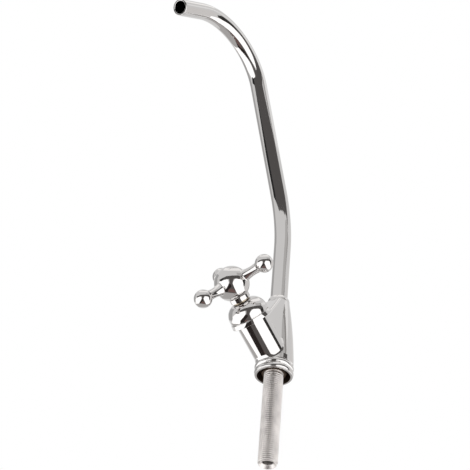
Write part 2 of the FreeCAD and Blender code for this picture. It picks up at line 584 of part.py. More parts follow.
def make_spout():
    """Bent tube, its sealing insert with two O rings, and the clip that keeps both in the socket."""
    tube = new_body("spout_tube")
    last = "(lean_angle + hook_angle)"
    path = [("0", TUBE_START), ("0", TUBE_UPRIGHT),
            ("(-1 * lean_radius * (1 - cos(lean_angle)))", f"({TUBE_UPRIGHT} + lean_radius * sin(lean_angle))")]
    path.append((f"({path[2][0]} - lean_length * sin(lean_angle))",
                 f"({path[2][1]} + lean_length * cos(lean_angle))"))
    path.append((f"({path[3][0]} + hook_radius * (cos({last}) - cos(lean_angle)))",
                 f"({path[3][1]} + hook_radius * (sin({last}) - sin(lean_angle)))"))
    path.append((f"({path[4][0]} - tip_length * sin({last}))",
                 f"({path[4][1]} + tip_length * cos({last}))"))
    spine = new_sketch(tube, "tube_path", "YZ_Plane")
    add_outline(spine, path, {1: "lean_radius", 3: "hook_radius"}, closed=False)
    section = new_sketch(tube, "tube_section", "XY_Plane", ("0", "0", TUBE_START))
    add_circle(section, "tube_diameter")
    add_circle(section, f"2 * {TUBE_BORE}")
    doc.recompute()
    add_feature(tube, "AdditivePipe", "tube_sweep", section, False, Spine=spine)
    mouth = Vector(0, size(path[5][0]), size(path[5][1]))
    round_edges(tube, "mouth_lip", "lip_radius", lambda edge: all(
        (point - mouth).Length < size("tube_diameter") / 2 + 0.01 for point in samples(edge)))

    insert = new_body("spout_insert")
    outer = f"({SOCKET} - insert_clearance)"
    spigot = f"({TUBE_BORE} - spigot_clearance)"
    clip_groove = "(clip_bore / 2 - clip_clearance)"
    foot = f"({TUBE_START} - insert_height)"
    outline = [("insert_bore / 2", foot), (outer, foot)]
    for low, high, bottom in ((LOWER_SEAL, f"({LOWER_SEAL} + seal_groove_width)", SPOUT_SEAL_BOTTOM),
                              (UPPER_SEAL, f"({UPPER_SEAL} + seal_groove_width)", SPOUT_SEAL_BOTTOM),
                              (f"({CLIP_START} - clip_clearance)", f"({CLIP_TOP} + clip_clearance)", clip_groove)):
        outline += [(outer, low), (bottom, low), (bottom, high), (outer, high)]
    spigot_end = f"({TUBE_START} + insert_spigot)"
    outline += [(outer, TUBE_START), (spigot, TUBE_START), (spigot, spigot_end),
                ("insert_bore / 2", spigot_end)]
    turn_profile(insert, "insert", outline)
    for label, low in (("spout_o_ring_lower", LOWER_SEAL), ("spout_o_ring_upper", UPPER_SEAL)):
        add_ring(new_body(label), seal_major(SOCKET, "spout_seal_section"), "spout_seal_section / 2",
                 f"({low} + seal_groove_width / 2)")

    clip = new_body("spout_clip")
    turn_profile(clip, "clip_ring", box(("clip_bore / 2", CLIP_START), ("clip_diameter / 2", CLIP_TOP)))
    opening = box(("0", "-1 * clip_opening / 2"), ("clip_diameter / 2 + cut_margin", "clip_opening / 2"))
    raise_outline(clip, "clip_opening_cut", opening, None, CLIP_START, "clip_height", cuts=True)


def make_bonnet():
    """Domed cap over the barrel's mouth and the headwork."""
    bonnet = new_body("bonnet", BARREL)
    ring, wall = "(bonnet_ring_diameter / 2)", "(bonnet_diameter / 2)"
    ring_top = f"({BONNET_START} + bonnet_ring_height)"
    outline = [("0", BONNET_START), (ring, BONNET_START), (f"({ring} - bonnet_ring_taper)", ring_top),
               (f"({wall} - bonnet_groove_depth)", ring_top),
               (f"({wall} - bonnet_groove_depth)", f"({ring_top} + bonnet_groove_width)"),
               (wall, f"({ring_top} + bonnet_groove_width)"), (wall, DOME_START),
               (f"({wall} - bonnet_dome_radius)", BONNET_TOP), ("0", BONNET_TOP)]
    turn_profile(bonnet, "dome", outline, {6: "bonnet_dome_radius"})
    bore = "(barrel_diameter / 2 + bonnet_fit)"
    inner, shoulder = "(bonnet_dome_radius - bonnet_wall)", f"({wall} - bonnet_dome_radius)"
    over = f"({BONNET_SEAT} - {DOME_START})"
    ceiling = f"({shoulder} + sqrt({inner} * {inner} - {over} * {over}))"
    below = f"({BONNET_START} - cut_margin)"
    outline = [("0", below), (bore, below),
               (bore, "barrel_reach"), (f"({wall} - bonnet_wall)", "(barrel_reach + flange_height)"),
               (f"({wall} - bonnet_wall)", DOME_START), (ceiling, BONNET_SEAT),
               ("bonnet_hole / 2", BONNET_SEAT), ("bonnet_hole / 2", f"{BONNET_TOP} + cut_margin"),
               ("0", f"{BONNET_TOP} + cut_margin")]
    turn_profile(bonnet, "bonnet_hollow", outline, {4: inner}, cuts=True)
    round_edges(bonnet, "bonnet_ring_edges", "bonnet_groove_depth / 2",
                lambda edge: edge.isClosed() and edge.Length > math.tau * size(f"{wall} + bonnet_fit"))


def make_headwork():
    """Threaded headwork housing that holds the discs and guides the stem, and its O ring."""
    housing = new_body("headwork_housing", BARREL, SPINDLE_TURN)
    skirt, thread = "skirt_diameter / 2", "(barrel_thread_diameter / 2 - thread_clearance)"
    step = f"(barrel_thread_start + {thread} - skirt_diameter / 2)"
    hex_start = "(barrel_reach + flange_height)"
    outline = [(DISC_BORE, "(chamber_floor + skirt_setback)"), (skirt, "(chamber_floor + skirt_setback)"),
               (skirt, "barrel_thread_start"), (thread, step), (thread, "barrel_reach"),
               ("headwork_flange / 2", "barrel_reach"), ("headwork_flange / 2", hex_start),
               ("neck_shoulder_diameter / 2", hex_start), ("neck_shoulder_diameter / 2", BONNET_SEAT),
               ("neck_diameter / 2", BONNET_SEAT), ("neck_diameter / 2", NECK_TOP), (STEM_BORE, NECK_TOP),
               (STEM_BORE, WASHER_TOP), (DISC_BORE, WASHER_TOP)]
    turn_profile(housing, "housing", outline)
    raise_outline(housing, "hexagon", hexagon("headwork_hex"), None, hex_start, "hex_height",
                  hole="neck_shoulder_diameter - cut_margin")
    outside = f"({skirt} + cut_margin)"
    window = sector(f"({DISC_BORE} - cut_margin)", outside, "0", "window_angle")
    first = raise_outline(housing, "window", *window, MOVING_START, "moving_disc_thickness", cuts=True)
    repeat_round(housing, "windows", first, "2")
    half = "(key_width / 2 + key_clearance)"
    slot = box((f"-1 * {half}", f"({DISC_BORE} - cut_margin)"), (half, outside))
    first = raise_outline(housing, "key_slot", slot, None, "(chamber_floor + skirt_setback)",
                          f"({MOVING_START} - chamber_floor - skirt_setback)", cuts=True)
    repeat_round(housing, "key_slots", first, "2")
    in_skirt = f"(({DISC_BORE} + {skirt}) / 2)"
    stop = sector("stop_diameter / 2", in_skirt, STOP_MIDDLE, "stop_width_angle")
    raise_outline(housing, "stop", *stop, f"({MOVING_TOP} + drive_clearance)",
                  "(stem_foot_thickness - 2 * drive_clearance)")
    seal = new_body("headwork_o_ring", BARREL)
    add_ring(seal, f"({thread} + ring_clearance + headwork_seal_section / 2)", "headwork_seal_section / 2",
             "(barrel_reach - counterbore_depth + headwork_seal_section / 2)")


def make_discs():
    """Fixed and moving ceramic discs, and the seal under them."""
    fixed = new_body("fixed_disc", BARREL, SPINDLE_TURN)
    turn_profile(fixed, "fixed_blank", box(("0", DISC_START), (DISC, MOVING_START)))
    key = box(("-1 * key_width / 2", f"({DISC} - cut_margin)"), ("key_width / 2", f"({DISC} + key_reach)"))
    first = raise_outline(fixed, "key", key, None, DISC_START, "fixed_disc_thickness")
    repeat_round(fixed, "keys", first, "2")
    port = sector("port_inner_diameter / 2", "port_outer_diameter / 2", "0", "port_angle")
    first = raise_outline(fixed, "port", *port, DISC_START, "fixed_disc_thickness", cuts=True)
    repeat_round(fixed, "ports", first, "2")

    moving = new_body("moving_disc", BARREL, SPINDLE_TURN)
    turn_profile(moving, "moving_blank", box(("0", MOVING_START), (f"({DISC} - disc_clearance)", MOVING_TOP)))
    notch_angle = "(port_angle + notch_extra_angle)"
    notch = sector("port_inner_diameter / 2", f"({DISC} + cut_margin)", "90", notch_angle)
    first = raise_outline(moving, "notch", *notch, MOVING_START, "moving_disc_thickness", cuts=True)
    repeat_round(moving, "notches", first, "2")
    half = "(drive_bar_width / 2 + drive_clearance)"
    slot = box((f"(-1 * {DISC} - cut_margin)", f"-1 * {half}"), (f"({DISC} + cut_margin)", half))
    depth = "(drive_bar_height + drive_clearance)"
    raise_outline(moving, "drive_slot", slot, None, f"({MOVING_TOP} - {depth})", depth, cuts=True)

    seal = new_body("seat_seal", BARREL)
    turn_profile(seal, "seal", box(("seat_seal_bore / 2", "chamber_floor"), (DISC, DISC_START)))


def make_spindle():
    """Stem with drive bar, stop cut, seal grooves and splines, and the rings it carries."""
    stem = new_body("stem", BARREL, SPINDLE_TURN)
    outline = [("0", MOVING_TOP), ("stem_foot_diameter / 2", MOVING_TOP),
               ("stem_foot_diameter / 2", STEM_FOOT_TOP), (STEM, STEM_FOOT_TOP)]
    grooves = ["stem_seal_first", "(stem_seal_first + stem_seal_pitch)"]
    for low in grooves:
        outline += [(STEM, low), (STEM_SEAL_BOTTOM, low), (STEM_SEAL_BOTTOM, f"({low} + stem_seal_groove)"),
                    (STEM, f"({low} + stem_seal_groove)")]
    outline += [(STEM, CIRCLIP_START), ("circlip_bore / 2", CIRCLIP_START), ("circlip_bore / 2", CIRCLIP_TOP),
                ("spline_diameter / 2", CIRCLIP_TOP), ("spline_diameter / 2", SPLINE_TOP), ("0", SPLINE_TOP)]
    turn_profile(stem, "stem_blank", outline)
    bar = box(("-1 * drive_bar_length / 2", "-1 * drive_bar_width / 2"),
              ("drive_bar_length / 2", "drive_bar_width / 2"))
    raise_outline(stem, "drive_bar", bar, None, f"({MOVING_TOP} - drive_bar_height)", "drive_bar_height")
    opening = "(stop_width_angle + quarter_turn + 2 * stop_slack)"
    cut = sector("(stop_diameter / 2 - stop_clearance)", "(stem_foot_diameter / 2 + cut_margin)",
                 f"({STOP_MIDDLE} - quarter_turn / 2)", opening)
    raise_outline(stem, "stop_cut", *cut, MOVING_TOP, "stem_foot_thickness", cuts=True)
    root, tip = "(spline_diameter / 2 - spline_rise)", "(spline_diameter / 2 + spline_rise)"
    tooth = box((root, "-1 * spline_width / 2"), (tip, "spline_width / 2"))
    first = raise_outline(stem, "spline", tooth, None, CIRCLIP_TOP, "spline_length")
    repeat_round(stem, "splines", first, "spline_count")

    for label, low in zip(("stem_o_ring_lower", "stem_o_ring_upper"), grooves):
        add_ring(new_body(label, BARREL), seal_major(STEM_BORE, "stem_seal_section"), "stem_seal_section / 2",
                 f"({low} + stem_seal_groove / 2)")
    washer = new_body("thrust_washer", BARREL)
    inner = f"({STEM} + 2 * stem_clearance)"
    turn_profile(washer, "washer", box((inner, WASHER_START), ("thrust_washer_diameter / 2", WASHER_TOP)))
    circlip = new_body("stem_circlip", BARREL, SPINDLE_TURN)
    ring = box(("circlip_bore / 2 + stem_clearance / 2", CIRCLIP_START), ("circlip_diameter / 2", CIRCLIP_TOP))
    turn_profile(circlip, "circlip", ring)
    mouth = box(("0", "-1 * circlip_mouth / 2"), ("circlip_diameter / 2 + cut_margin", "circlip_mouth / 2"))
    raise_outline(circlip, "circlip_mouth", mouth, None, CIRCLIP_START, "circlip_thickness", cuts=True)


def make_handle():
    """Three arms with balls on a round hub, splined to the stem and held by a set screw."""
    handle = new_body("handle", BARREL, SPINDLE_TURN)
    hub, collar = "(hub_diameter / 2)", "(collar_diameter / 2)"
    collar_top = f"({HUB_CENTRE} - sqrt({hub} * {hub} - {collar} * {collar}))"
    outline = [("0", HANDLE_START), (collar, HANDLE_START), (collar, collar_top),
               ("0", f"({HUB_CENTRE} + {hub})")]
    turn_profile(handle, "hub", outline, {2: hub})
    arm_frame = (("0", HUB_CENTRE, "0"), "90 - arm_rise")
    root, neck, ball = "(arm_root_diameter / 2)", "(arm_neck_diameter / 2)", "(ball_diameter / 2)"
    root_reach = f"(sqrt({hub} * {hub} - {root} * {root}) - arm_sink)"
    neck_reach = f"(arm_reach - sqrt({ball} * {ball} - {neck} * {neck}))"
    outline = [("0", f"({hub} / 2)"), (root, f"({hub} / 2)"), (root, root_reach), (neck, neck_reach),
               ("0", f"(arm_reach + {ball})")]
    arm = turn_profile(handle, "arm", outline, {2: "-1 * arm_hollow_radius", 3: ball}, frame=arm_frame)
    repeat_round(handle, "arms", arm, "arm_count")

    thin, thick = (math.tau * size(radius) for radius in (f"{neck} - arm_sink", f"{root} + arm_sink"))
    round_edges(handle, "arm_fillets", "arm_fillet", lambda edge: not edge.Degenerated and edge.isClosed()
                and thin < edge.Length < thick)
    below, step, end = (f"({HANDLE_START} - cut_margin)", f"({HANDLE_START} + collar_recess_depth)",
                        f"({SPLINE_TOP} + stem_end_gap)")
    bore = "(spline_diameter / 2 + spline_clearance)"
    recess = [("0", below), ("collar_recess_diameter / 2", below), ("collar_recess_diameter / 2", step),
              (bore, step), (bore, end), ("0", end)]
    turn_profile(handle, "stem_socket", recess, cuts=True)
    half = "(spline_width / 2 + spline_clearance)"
    slot = box(("(spline_diameter / 2 - spline_rise)", f"-1 * {half}"),
               ("(spline_diameter / 2 + spline_rise + spline_clearance)", half))
    first = raise_outline(handle, "spline_slot", slot, None, HANDLE_START, f"({end} - {HANDLE_START})",
                          cuts=True)
    repeat_round(handle, "spline_slots", first, "spline_count")
    screw_frame = (("0", SCREW_AXIS, "0"), "-90")
    hole = box(("0", "0"), ("set_screw_diameter / 2 + thread_clearance", f"{hub}"))
    turn_profile(handle, "set_screw_hole", hole, cuts=True, frame=screw_frame)

    screw = new_body("handle_screw", BARREL, SPINDLE_TURN)
    end = "(set_screw_start + set_screw_length)"
    turn_profile(screw, "screw", box(("0", "set_screw_start"), ("set_screw_diameter / 2", end)), frame=screw_frame)
    socket = new_sketch(screw, "screw_socket", "XZ_Plane", ("0", SCREW_AXIS, f"-1 * {end}"))
    add_outline(socket, hexagon("set_screw_hex"))
    add_feature(screw, "Pocket", "screw_socket_cut", socket, True, Length="set_screw_hex_depth", Reversed=True)


def check_and_write():
    os.makedirs("parts", exist_ok=True)
    for item in doc.Objects:
        if "Invalid" in item.State or "Error" in item.State:
            raise RuntimeError(f"{item.Label}: {item.State}")
    for item in doc.Objects:
        if item.TypeId != "PartDesign::Body":
            continue
        shape = item.Shape
        if shape.isNull() or not shape.isValid() or len(shape.Solids) != 1:
            raise RuntimeError(f"{item.Label}: not one valid solid")
        shape.exportStep(f"parts/{item.Label}.step")


make_body()
make_inlet()
make_spout()
make_bonnet()
make_headwork()
make_discs()
make_spindle()
make_handle()
doc.recompute()
check_and_write()
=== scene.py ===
import json
import math

import bmesh
import bpy
from bpy.props import FloatProperty, FloatVectorProperty, PointerProperty
from mathutils import Matrix, Vector


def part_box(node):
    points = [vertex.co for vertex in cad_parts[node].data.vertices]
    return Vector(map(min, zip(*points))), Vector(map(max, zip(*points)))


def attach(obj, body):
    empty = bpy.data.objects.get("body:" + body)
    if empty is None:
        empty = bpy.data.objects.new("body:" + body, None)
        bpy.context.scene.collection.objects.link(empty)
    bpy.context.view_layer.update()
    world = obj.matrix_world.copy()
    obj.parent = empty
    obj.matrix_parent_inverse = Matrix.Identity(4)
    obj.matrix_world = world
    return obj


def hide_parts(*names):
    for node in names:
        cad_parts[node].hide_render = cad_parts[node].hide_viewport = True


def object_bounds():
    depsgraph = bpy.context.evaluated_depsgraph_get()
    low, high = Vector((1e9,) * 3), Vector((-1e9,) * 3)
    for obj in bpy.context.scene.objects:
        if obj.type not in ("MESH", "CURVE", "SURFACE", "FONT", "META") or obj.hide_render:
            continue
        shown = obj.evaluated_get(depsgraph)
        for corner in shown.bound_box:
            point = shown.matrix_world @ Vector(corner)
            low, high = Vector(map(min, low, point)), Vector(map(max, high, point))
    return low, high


bl_info = {
    "name": "Filter faucet looks",
    "version": (1, 0, 0),
    "blender": (4, 5, 0),
    "location": "3D View > Sidebar > Faucet",
    "description": "Dresses the packed filter faucet in chrome, nickel, brass and rubber, and sets its stage",
    "category": "Object",
}

MM = 0.001
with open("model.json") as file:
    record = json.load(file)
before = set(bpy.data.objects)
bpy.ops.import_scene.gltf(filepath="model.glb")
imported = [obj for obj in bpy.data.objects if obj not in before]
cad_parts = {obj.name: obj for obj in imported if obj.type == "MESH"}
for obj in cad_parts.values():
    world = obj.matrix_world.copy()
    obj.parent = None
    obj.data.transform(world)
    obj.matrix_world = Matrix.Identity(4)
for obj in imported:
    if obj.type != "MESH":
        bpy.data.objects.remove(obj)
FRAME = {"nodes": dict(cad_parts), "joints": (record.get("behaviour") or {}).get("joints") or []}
FRAME_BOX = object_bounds()

PHOTO_SIDE = 470
SENSOR_WIDTH = 36.0
SHARP_ANGLE = math.radians(35)
ROUNDING_STEPS = 6
MERGE_DISTANCE = 0.0005 * MM
FINE_EDGE = 0.1 * MM
NOISE_RANGE = (0.3, 0.7)
CUP_RADIUS = 9.5 * MM
CUP_TOP = 9 * MM

TUBE_LOW, TUBE_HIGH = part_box("spout_tube")
SHANK_LOW, SHANK_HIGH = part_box("threaded_shank")
TUBE_INSET = 0.02 * MM
TUBE_RADIUS = TUBE_HIGH.x - TUBE_INSET
SHANK_RADIUS = SHANK_HIGH.x

VALVE_JOINT = next(joint for joint in FRAME["joints"] if joint["name"] == "handle_turn")
BARREL_AXIS = Vector(VALVE_JOINT["axis"]).normalized()
BARREL_START = Vector((0, 0, 10 * MM))


# Settings


class FinishSettings(bpy.types.PropertyGroup):
    """Colours of the faucet's finishes."""

    chrome: FloatVectorProperty(
        name="Chrome", description="Reflected colour of the polished chrome",
        default=(0.66, 0.645, 0.635), min=0, max=1, subtype="COLOR",
    )
    # Bare brass inside the foot, darkened far below brass's own colour as painted shade in the cup.
    unplated_in_shade: FloatVectorProperty(
        name="Unplated", description="Reflected colour of the unplated brass inside the foot",
        default=(0.1, 0.07, 0.05), min=0, max=1, subtype="COLOR",
    )
    nickel: FloatVectorProperty(
        name="Nickel", description="Reflected colour of the dull plating on the threaded shank",
        default=(0.8, 0.77, 0.75), min=0, max=1, subtype="COLOR",
    )
    # Brass's own hue, darkened as painted shade for the valve parts seen between the handle's collar and the
    # bonnet.
    brass: FloatVectorProperty(
        name="Brass", description="Reflected colour of the turned brass valve parts",
        default=(0.5, 0.43, 0.33), min=0, max=1, subtype="COLOR",
    )
    rubber: FloatVectorProperty(
        name="Rubber", description="Colour of the seals",
        default=(0.02, 0.02, 0.021), min=0, max=1, subtype="COLOR",
    )
    ceramic: FloatVectorProperty(
        name="Ceramic", description="Colour of the valve discs",
        default=(0.8, 0.78, 0.72), min=0, max=1, subtype="COLOR",
    )
    plastic: FloatVectorProperty(
        name="Plastic", description="Colour of the spout's insert, its clip and the thrust washer",
        default=(0.78, 0.78, 0.75), min=0, max=1, subtype="COLOR",
    )
    steel: FloatVectorProperty(
        name="Steel", description="Reflected colour of the circlip and the handle's screw",
        default=(0.5, 0.5, 0.51), min=0, max=1, subtype="COLOR",
    )


class SpoutSettings(bpy.types.PropertyGroup):
    """Sizes of the bent spout tube."""

    wall: FloatProperty(
        name="Wall", description="Thickness of the tube", default=1.15 * MM,
        min=0.1 * MM, unit="LENGTH",
    )
    lip: FloatProperty(
        name="Lip", description="Rounding of the mouth's edges", default=0.35 * MM,
        min=0.05 * MM, unit="LENGTH",
    )
    riser: FloatProperty(
        name="Riser", description="Upright run above the socket", default=42 * MM, min=0, unit="LENGTH",
    )
    lean_radius: FloatProperty(
        name="First bend radius", description="Radius of the gentle bend", default=100 * MM,
        min=MM, unit="LENGTH",
    )
    lean_angle: FloatProperty(
        name="First bend angle", description="Angle of the gentle bend", default=math.radians(21), min=0,
        subtype="ANGLE",
    )
    middle: FloatProperty(
        name="Middle run", description="Straight run between the bends", default=70.5 * MM,
        min=0, unit="LENGTH",
    )
    hook_radius: FloatProperty(
        name="Upper bend radius", description="Radius of the upper bend", default=39.5 * MM,
        min=MM, unit="LENGTH",
    )
    hook_angle: FloatProperty(
        name="Upper bend angle", description="Angle of the upper bend", default=math.radians(99), min=0,
        subtype="ANGLE",
    )
    tip: FloatProperty(
        name="Tip", description="Straight run at the mouth", default=20.5 * MM, min=0, unit="LENGTH",
    )


class ShankSettings(bpy.types.PropertyGroup):
    """Sizes of the threaded shank."""

    pitch: FloatProperty(
        name="Pitch", description="Rise of the thread in one turn", default=25.4 / 20 * MM,
        min=0.2 * MM, unit="LENGTH",
    )
    depth: FloatProperty(
        name="Thread depth", description="Height of the thread's ridge", default=0.62 * MM,
        min=0.05 * MM, unit="LENGTH",
    )
    chamfer: FloatProperty(
        name="Chamfer", description="Plain length below the first turn", default=0.9 * MM,
        min=0, unit="LENGTH",
    )
    thread_top: FloatProperty(
        name="Thread top", description="Height where the thread runs out", default=0.3 * MM,
        unit="LENGTH",
    )
    groove: FloatProperty(
        name="Groove", description="Width of the run-out groove above the thread", default=1.1 * MM,
        min=0, unit="LENGTH",
    )
    bore: FloatProperty(
        name="Bore", description="Diameter of the bore for the supply tube", default=6.4 * MM, min=MM,
        unit="LENGTH",
    )
    countersink: FloatProperty(
        name="Countersink", description="Diameter of the countersink", default=9.6 * MM,
        min=MM, unit="LENGTH",
    )
    countersink_depth: FloatProperty(
        name="Countersink depth", description="Depth of the countersink", default=1.8 * MM,
        min=0, unit="LENGTH",
    )


class BonnetSettings(bpy.types.PropertyGroup):
    """Sizes of the domed bonnet, along the barrel and across it."""

    start: FloatProperty(
        name="Start", description="Lower end of the bonnet, along the barrel", default=26.7 * MM,
        unit="LENGTH",
    )
    bead: FloatProperty(
        name="Bead", description="Diameter of the bead round the lower end", default=24.1 * MM,
        unit="LENGTH",
    )
    bead_height: FloatProperty(
        name="Bead height", description="Height of that bead", default=2.6 * MM, unit="LENGTH",
    )
    side: FloatProperty(
        name="Side", description="Diameter of the plain side", default=23 * MM, unit="LENGTH",
    )
    groove: FloatProperty(
        name="Groove", description="Width and depth of the groove above the bead", default=0.35 * MM,
        unit="LENGTH",
    )
    dome_start: FloatProperty(
        name="Dome start", description="Start of the dome, along the barrel", default=31.5 * MM,
        unit="LENGTH",
    )
    dome: FloatProperty(
        name="Dome radius", description="Radius of the dome's shoulder", default=7.8 * MM,
        unit="LENGTH",
    )
    wall: FloatProperty(
        name="Wall", description="Thickness of the dome", default=1.2 * MM, unit="LENGTH",
    )
    hole: FloatProperty(
        name="Hole", description="Diameter of the hole for the valve's neck", default=9.9 * MM,
        unit="LENGTH",
    )


class StudioSettings(bpy.types.PropertyGroup):
    """Camera, light and floor."""

    azimuth: FloatProperty(
        name="Azimuth", description="Camera's turn round the upright axis", default=math.radians(42.868),
        subtype="ANGLE",
    )
    elevation: FloatProperty(
        name="Elevation", description="Camera's height angle, negative from below",
        default=math.radians(-35.644), subtype="ANGLE",
    )
    roll: FloatProperty(
        name="Roll", description="Turn of the picture", default=math.radians(5.006), subtype="ANGLE",
    )
    distance: FloatProperty(
        name="Distance", description="From the aim to the camera", default=1068.894 * MM, unit="LENGTH",
    )
    focal: FloatProperty(
        name="Focal length", description="Lens in pixels of the square picture", default=1808.762, min=1,
    )
    aside: FloatVectorProperty(
        name="Aside", description="Camera's move to the left and down", size=2,
        default=(28.642 * MM, 1.883 * MM), unit="LENGTH",
    )
    pale_light: FloatProperty(
        name="Surroundings", description="Brightness of the surroundings in reflections", default=0.85, min=0,
    )
    fill_light: FloatProperty(
        name="Fill", description="Brightness of the surroundings for dull surfaces", default=0.7, min=0,
    )
    floor_side: FloatProperty(
        name="Floor", description="Side of the square floor", default=3.0, min=0.1, unit="LENGTH",
    )


# Meshes


def piece_from(mesh_name, bm):
    """Object from a working mesh, with smooth faces and its steep edges kept sharp."""
    bmesh.ops.remove_doubles(bm, verts=bm.verts, dist=MERGE_DISTANCE)
    bmesh.ops.recalc_face_normals(bm, faces=bm.faces)
    for face in bm.faces:
        face.smooth = True
    for edge in bm.edges:
        edge.smooth = len(edge.link_faces) < 2 or edge.calc_face_angle(0.0) < SHARP_ANGLE
    mesh = bpy.data.meshes.new(mesh_name)
    bm.to_mesh(mesh)
    bm.free()
    piece = bpy.data.objects.new(mesh_name, mesh)
    bpy.context.scene.collection.objects.link(piece)
    return piece


def rounded(corners):
    """Outline of (radius, height) points from corners (radius, height, rounding)."""
    outline = []
    count = len(corners)
    for index, (radius, height, rounding) in enumerate(corners):
        here = Vector((radius, height))
        if rounding <= 0:
            outline.append(here)
            continue
        before = (Vector(corners[index - 1][:2]) - here).normalized()
        after = (Vector(corners[(index + 1) % count][:2]) - here).normalized()
        half = before.angle(after) / 2
        centre = here + (before + after).normalized() * (rounding / math.sin(half))
        first = here + before * (rounding / math.tan(half)) - centre
        last = here + after * (rounding / math.tan(half)) - centre
        sweep = first.angle_signed(last)
        for step in range(ROUNDING_STEPS + 1):
            outline.append(centre + Matrix.Rotation(-sweep * step / ROUNDING_STEPS, 2) @ first)
    return outline


def divided(outline, longest):
    """The closed outline with its long straight sides divided."""
    points = []
    for index, point in enumerate(outline):
        following = outline[(index + 1) % len(outline)]
        parts = max(1, math.ceil((following - point).length / longest))
        points += [point.lerp(following, part / parts) for part in range(parts)]
    return points


def turned(outline, around):
    """Working mesh of a closed outline of (radius, height) points turned round the upright axis."""
    bm = bmesh.new()
    turns = [2 * math.pi * step / around for step in range(around)]
    rings = []
    for radius, height in outline:
        places = [(radius * math.cos(turn), radius * math.sin(turn), height) for turn in turns]
        rings.append([bm.verts.new(place) for place in places])
    for index, ring in enumerate(rings):
        following = rings[(index + 1) % len(rings)]
        for step in range(around):
            after = (step + 1) % around
            bm.faces.new((ring[step], ring[after], following[after], following[step]))
    return bm


def place_on_barrel(piece):
    """Moves a piece's mesh from the upright axis to the valve barrel."""
    side = Vector((1, 0, 0))
    turn = Matrix((side, BARREL_AXIS.cross(side), BARREL_AXIS)).transposed().to_4x4()
    piece.data.transform(Matrix.Translation(BARREL_START) @ turn)


# Node trees


def link_value(tree, socket, value):
    """Connects a socket to another node's output, or sets it."""
    if isinstance(value, bpy.types.NodeSocket):
        tree.links.new(value, socket)
    else:
        socket.default_value = value


def maths(tree, operation, *values):
    """Math node's output for one operation."""
    node = tree.nodes.new("ShaderNodeMath")
    node.operation = operation
    for socket, value in zip(node.inputs, values):
        link_value(tree, socket, value)
    return node.outputs[0]


def total(tree, *values):
    """Sum of several values."""
    result = values[0]
    for value in values[1:]:
        result = maths(tree, "ADD", result, value)
    return result


def new_shape_tree(name, sizes):
    """Geometry tree with a mesh input, named size inputs and a material input."""
    tree = bpy.data.node_groups.new(name, "GeometryNodeTree")
    tree.interface.new_socket("Geometry", in_out="INPUT", socket_type="NodeSocketGeometry")
    for size_name in sizes:
        tree.interface.new_socket(size_name, in_out="INPUT", socket_type="NodeSocketFloat")
    tree.interface.new_socket("Material", in_out="INPUT", socket_type="NodeSocketMaterial")
    tree.interface.new_socket("Geometry", in_out="OUTPUT", socket_type="NodeSocketGeometry")
    return tree, tree.nodes.new("NodeGroupInput")


def close_shape_tree(tree, given, geometry):
    """Ends a geometry tree in Realize Instances and Set Material."""
    realise = tree.nodes.new("GeometryNodeRealizeInstances")
    paint = tree.nodes.new("GeometryNodeSetMaterial")
    result = tree.nodes.new("NodeGroupOutput")
    tree.links.new(geometry, realise.inputs["Geometry"])
    tree.links.new(realise.outputs["Geometry"], paint.inputs["Geometry"])
    tree.links.new(given.outputs["Material"], paint.inputs["Material"])
    tree.links.new(paint.outputs["Geometry"], result.inputs["Geometry"])


def apply_shape_tree(piece, tree, sizes, material):
    """Runs a geometry tree on a piece and keeps the result as its plain mesh."""
    modifier = piece.modifiers.new(tree.name, "NODES")
    modifier.node_group = tree
    for item in tree.interface.items_tree:
        if item.in_out == "INPUT" and item.name in sizes:
            modifier[item.identifier] = sizes[item.name]
        if item.in_out == "INPUT" and item.name == "Material":
            modifier[item.identifier] = material
    bpy.context.view_layer.update()
    shaped = piece.evaluated_get(bpy.context.evaluated_depsgraph_get())
    mesh = bpy.data.meshes.new_from_object(shaped)
    if not mesh.polygons:
        raise RuntimeError(f"{tree.name} made no faces")
    piece.modifiers.remove(modifier)
    blank, piece.data = piece.data, mesh
    mesh.name = piece.name
    bpy.data.meshes.remove(blank)


# Finishes


def new_finish(name, colour, metallic, roughness):
    """New material with its tree and its shader, whose plain values serve where nodes aren't read."""
    material = bpy.data.materials.new(name)
    material.use_nodes = True
    tree = material.node_tree
    shader = tree.nodes["Principled BSDF"]
    shader.inputs["Base Color"].default_value = (*colour, 1)
    shader.inputs["Metallic"].default_value = metallic
    shader.inputs["Roughness"].default_value = roughness
    return material, tree, shader


def noise(tree, scale, detail=3, stretch=(1, 1, 1)):
    """Noise over the object's own coordinates."""
    place = tree.nodes.new("ShaderNodeTexCoord")
    mapping = tree.nodes.new("ShaderNodeMapping")
    mapping.inputs["Scale"].default_value = stretch
    texture = tree.nodes.new("ShaderNodeTexNoise")
    texture.inputs["Scale"].default_value = scale
    texture.inputs["Detail"].default_value = detail
    tree.links.new(place.outputs["Object"], mapping.inputs["Vector"])
    tree.links.new(mapping.outputs["Vector"], texture.inputs["Vector"])
    return texture.outputs["Fac"]


def spread(tree, value, low, high):
    """Noise stretched over a range of values."""
    node = tree.nodes.new("ShaderNodeMapRange")
    ends = dict(zip(("From Min", "From Max", "To Min", "To Max"), (*NOISE_RANGE, low, high)))
    for name, end in ends.items():
        node.inputs[name].default_value = end
    tree.links.new(value, node.inputs["Value"])
    return node.outputs["Result"]


def tinted(tree, value, first, second):
    """Colour between two by a value. The first can be another node's colour."""
    node = tree.nodes.new("ShaderNodeMix")
    node.data_type = "RGBA"
    inputs = {socket.identifier: socket for socket in node.inputs}
    factor, start, end = (inputs[name] for name in ("Factor_Float", "A_Color", "B_Color"))
    if isinstance(first, bpy.types.NodeSocket):
        tree.links.new(first, start)
    else:
        start.default_value = (*first, 1)
    end.default_value = (*second, 1)
    tree.links.new(value, factor)
    return next(socket for socket in node.outputs if socket.identifier == "Result_Color")


def shade_of(colour, factor):
    """A colour made darker or lighter."""
    return tuple(min(1, part * factor) for part in colour)


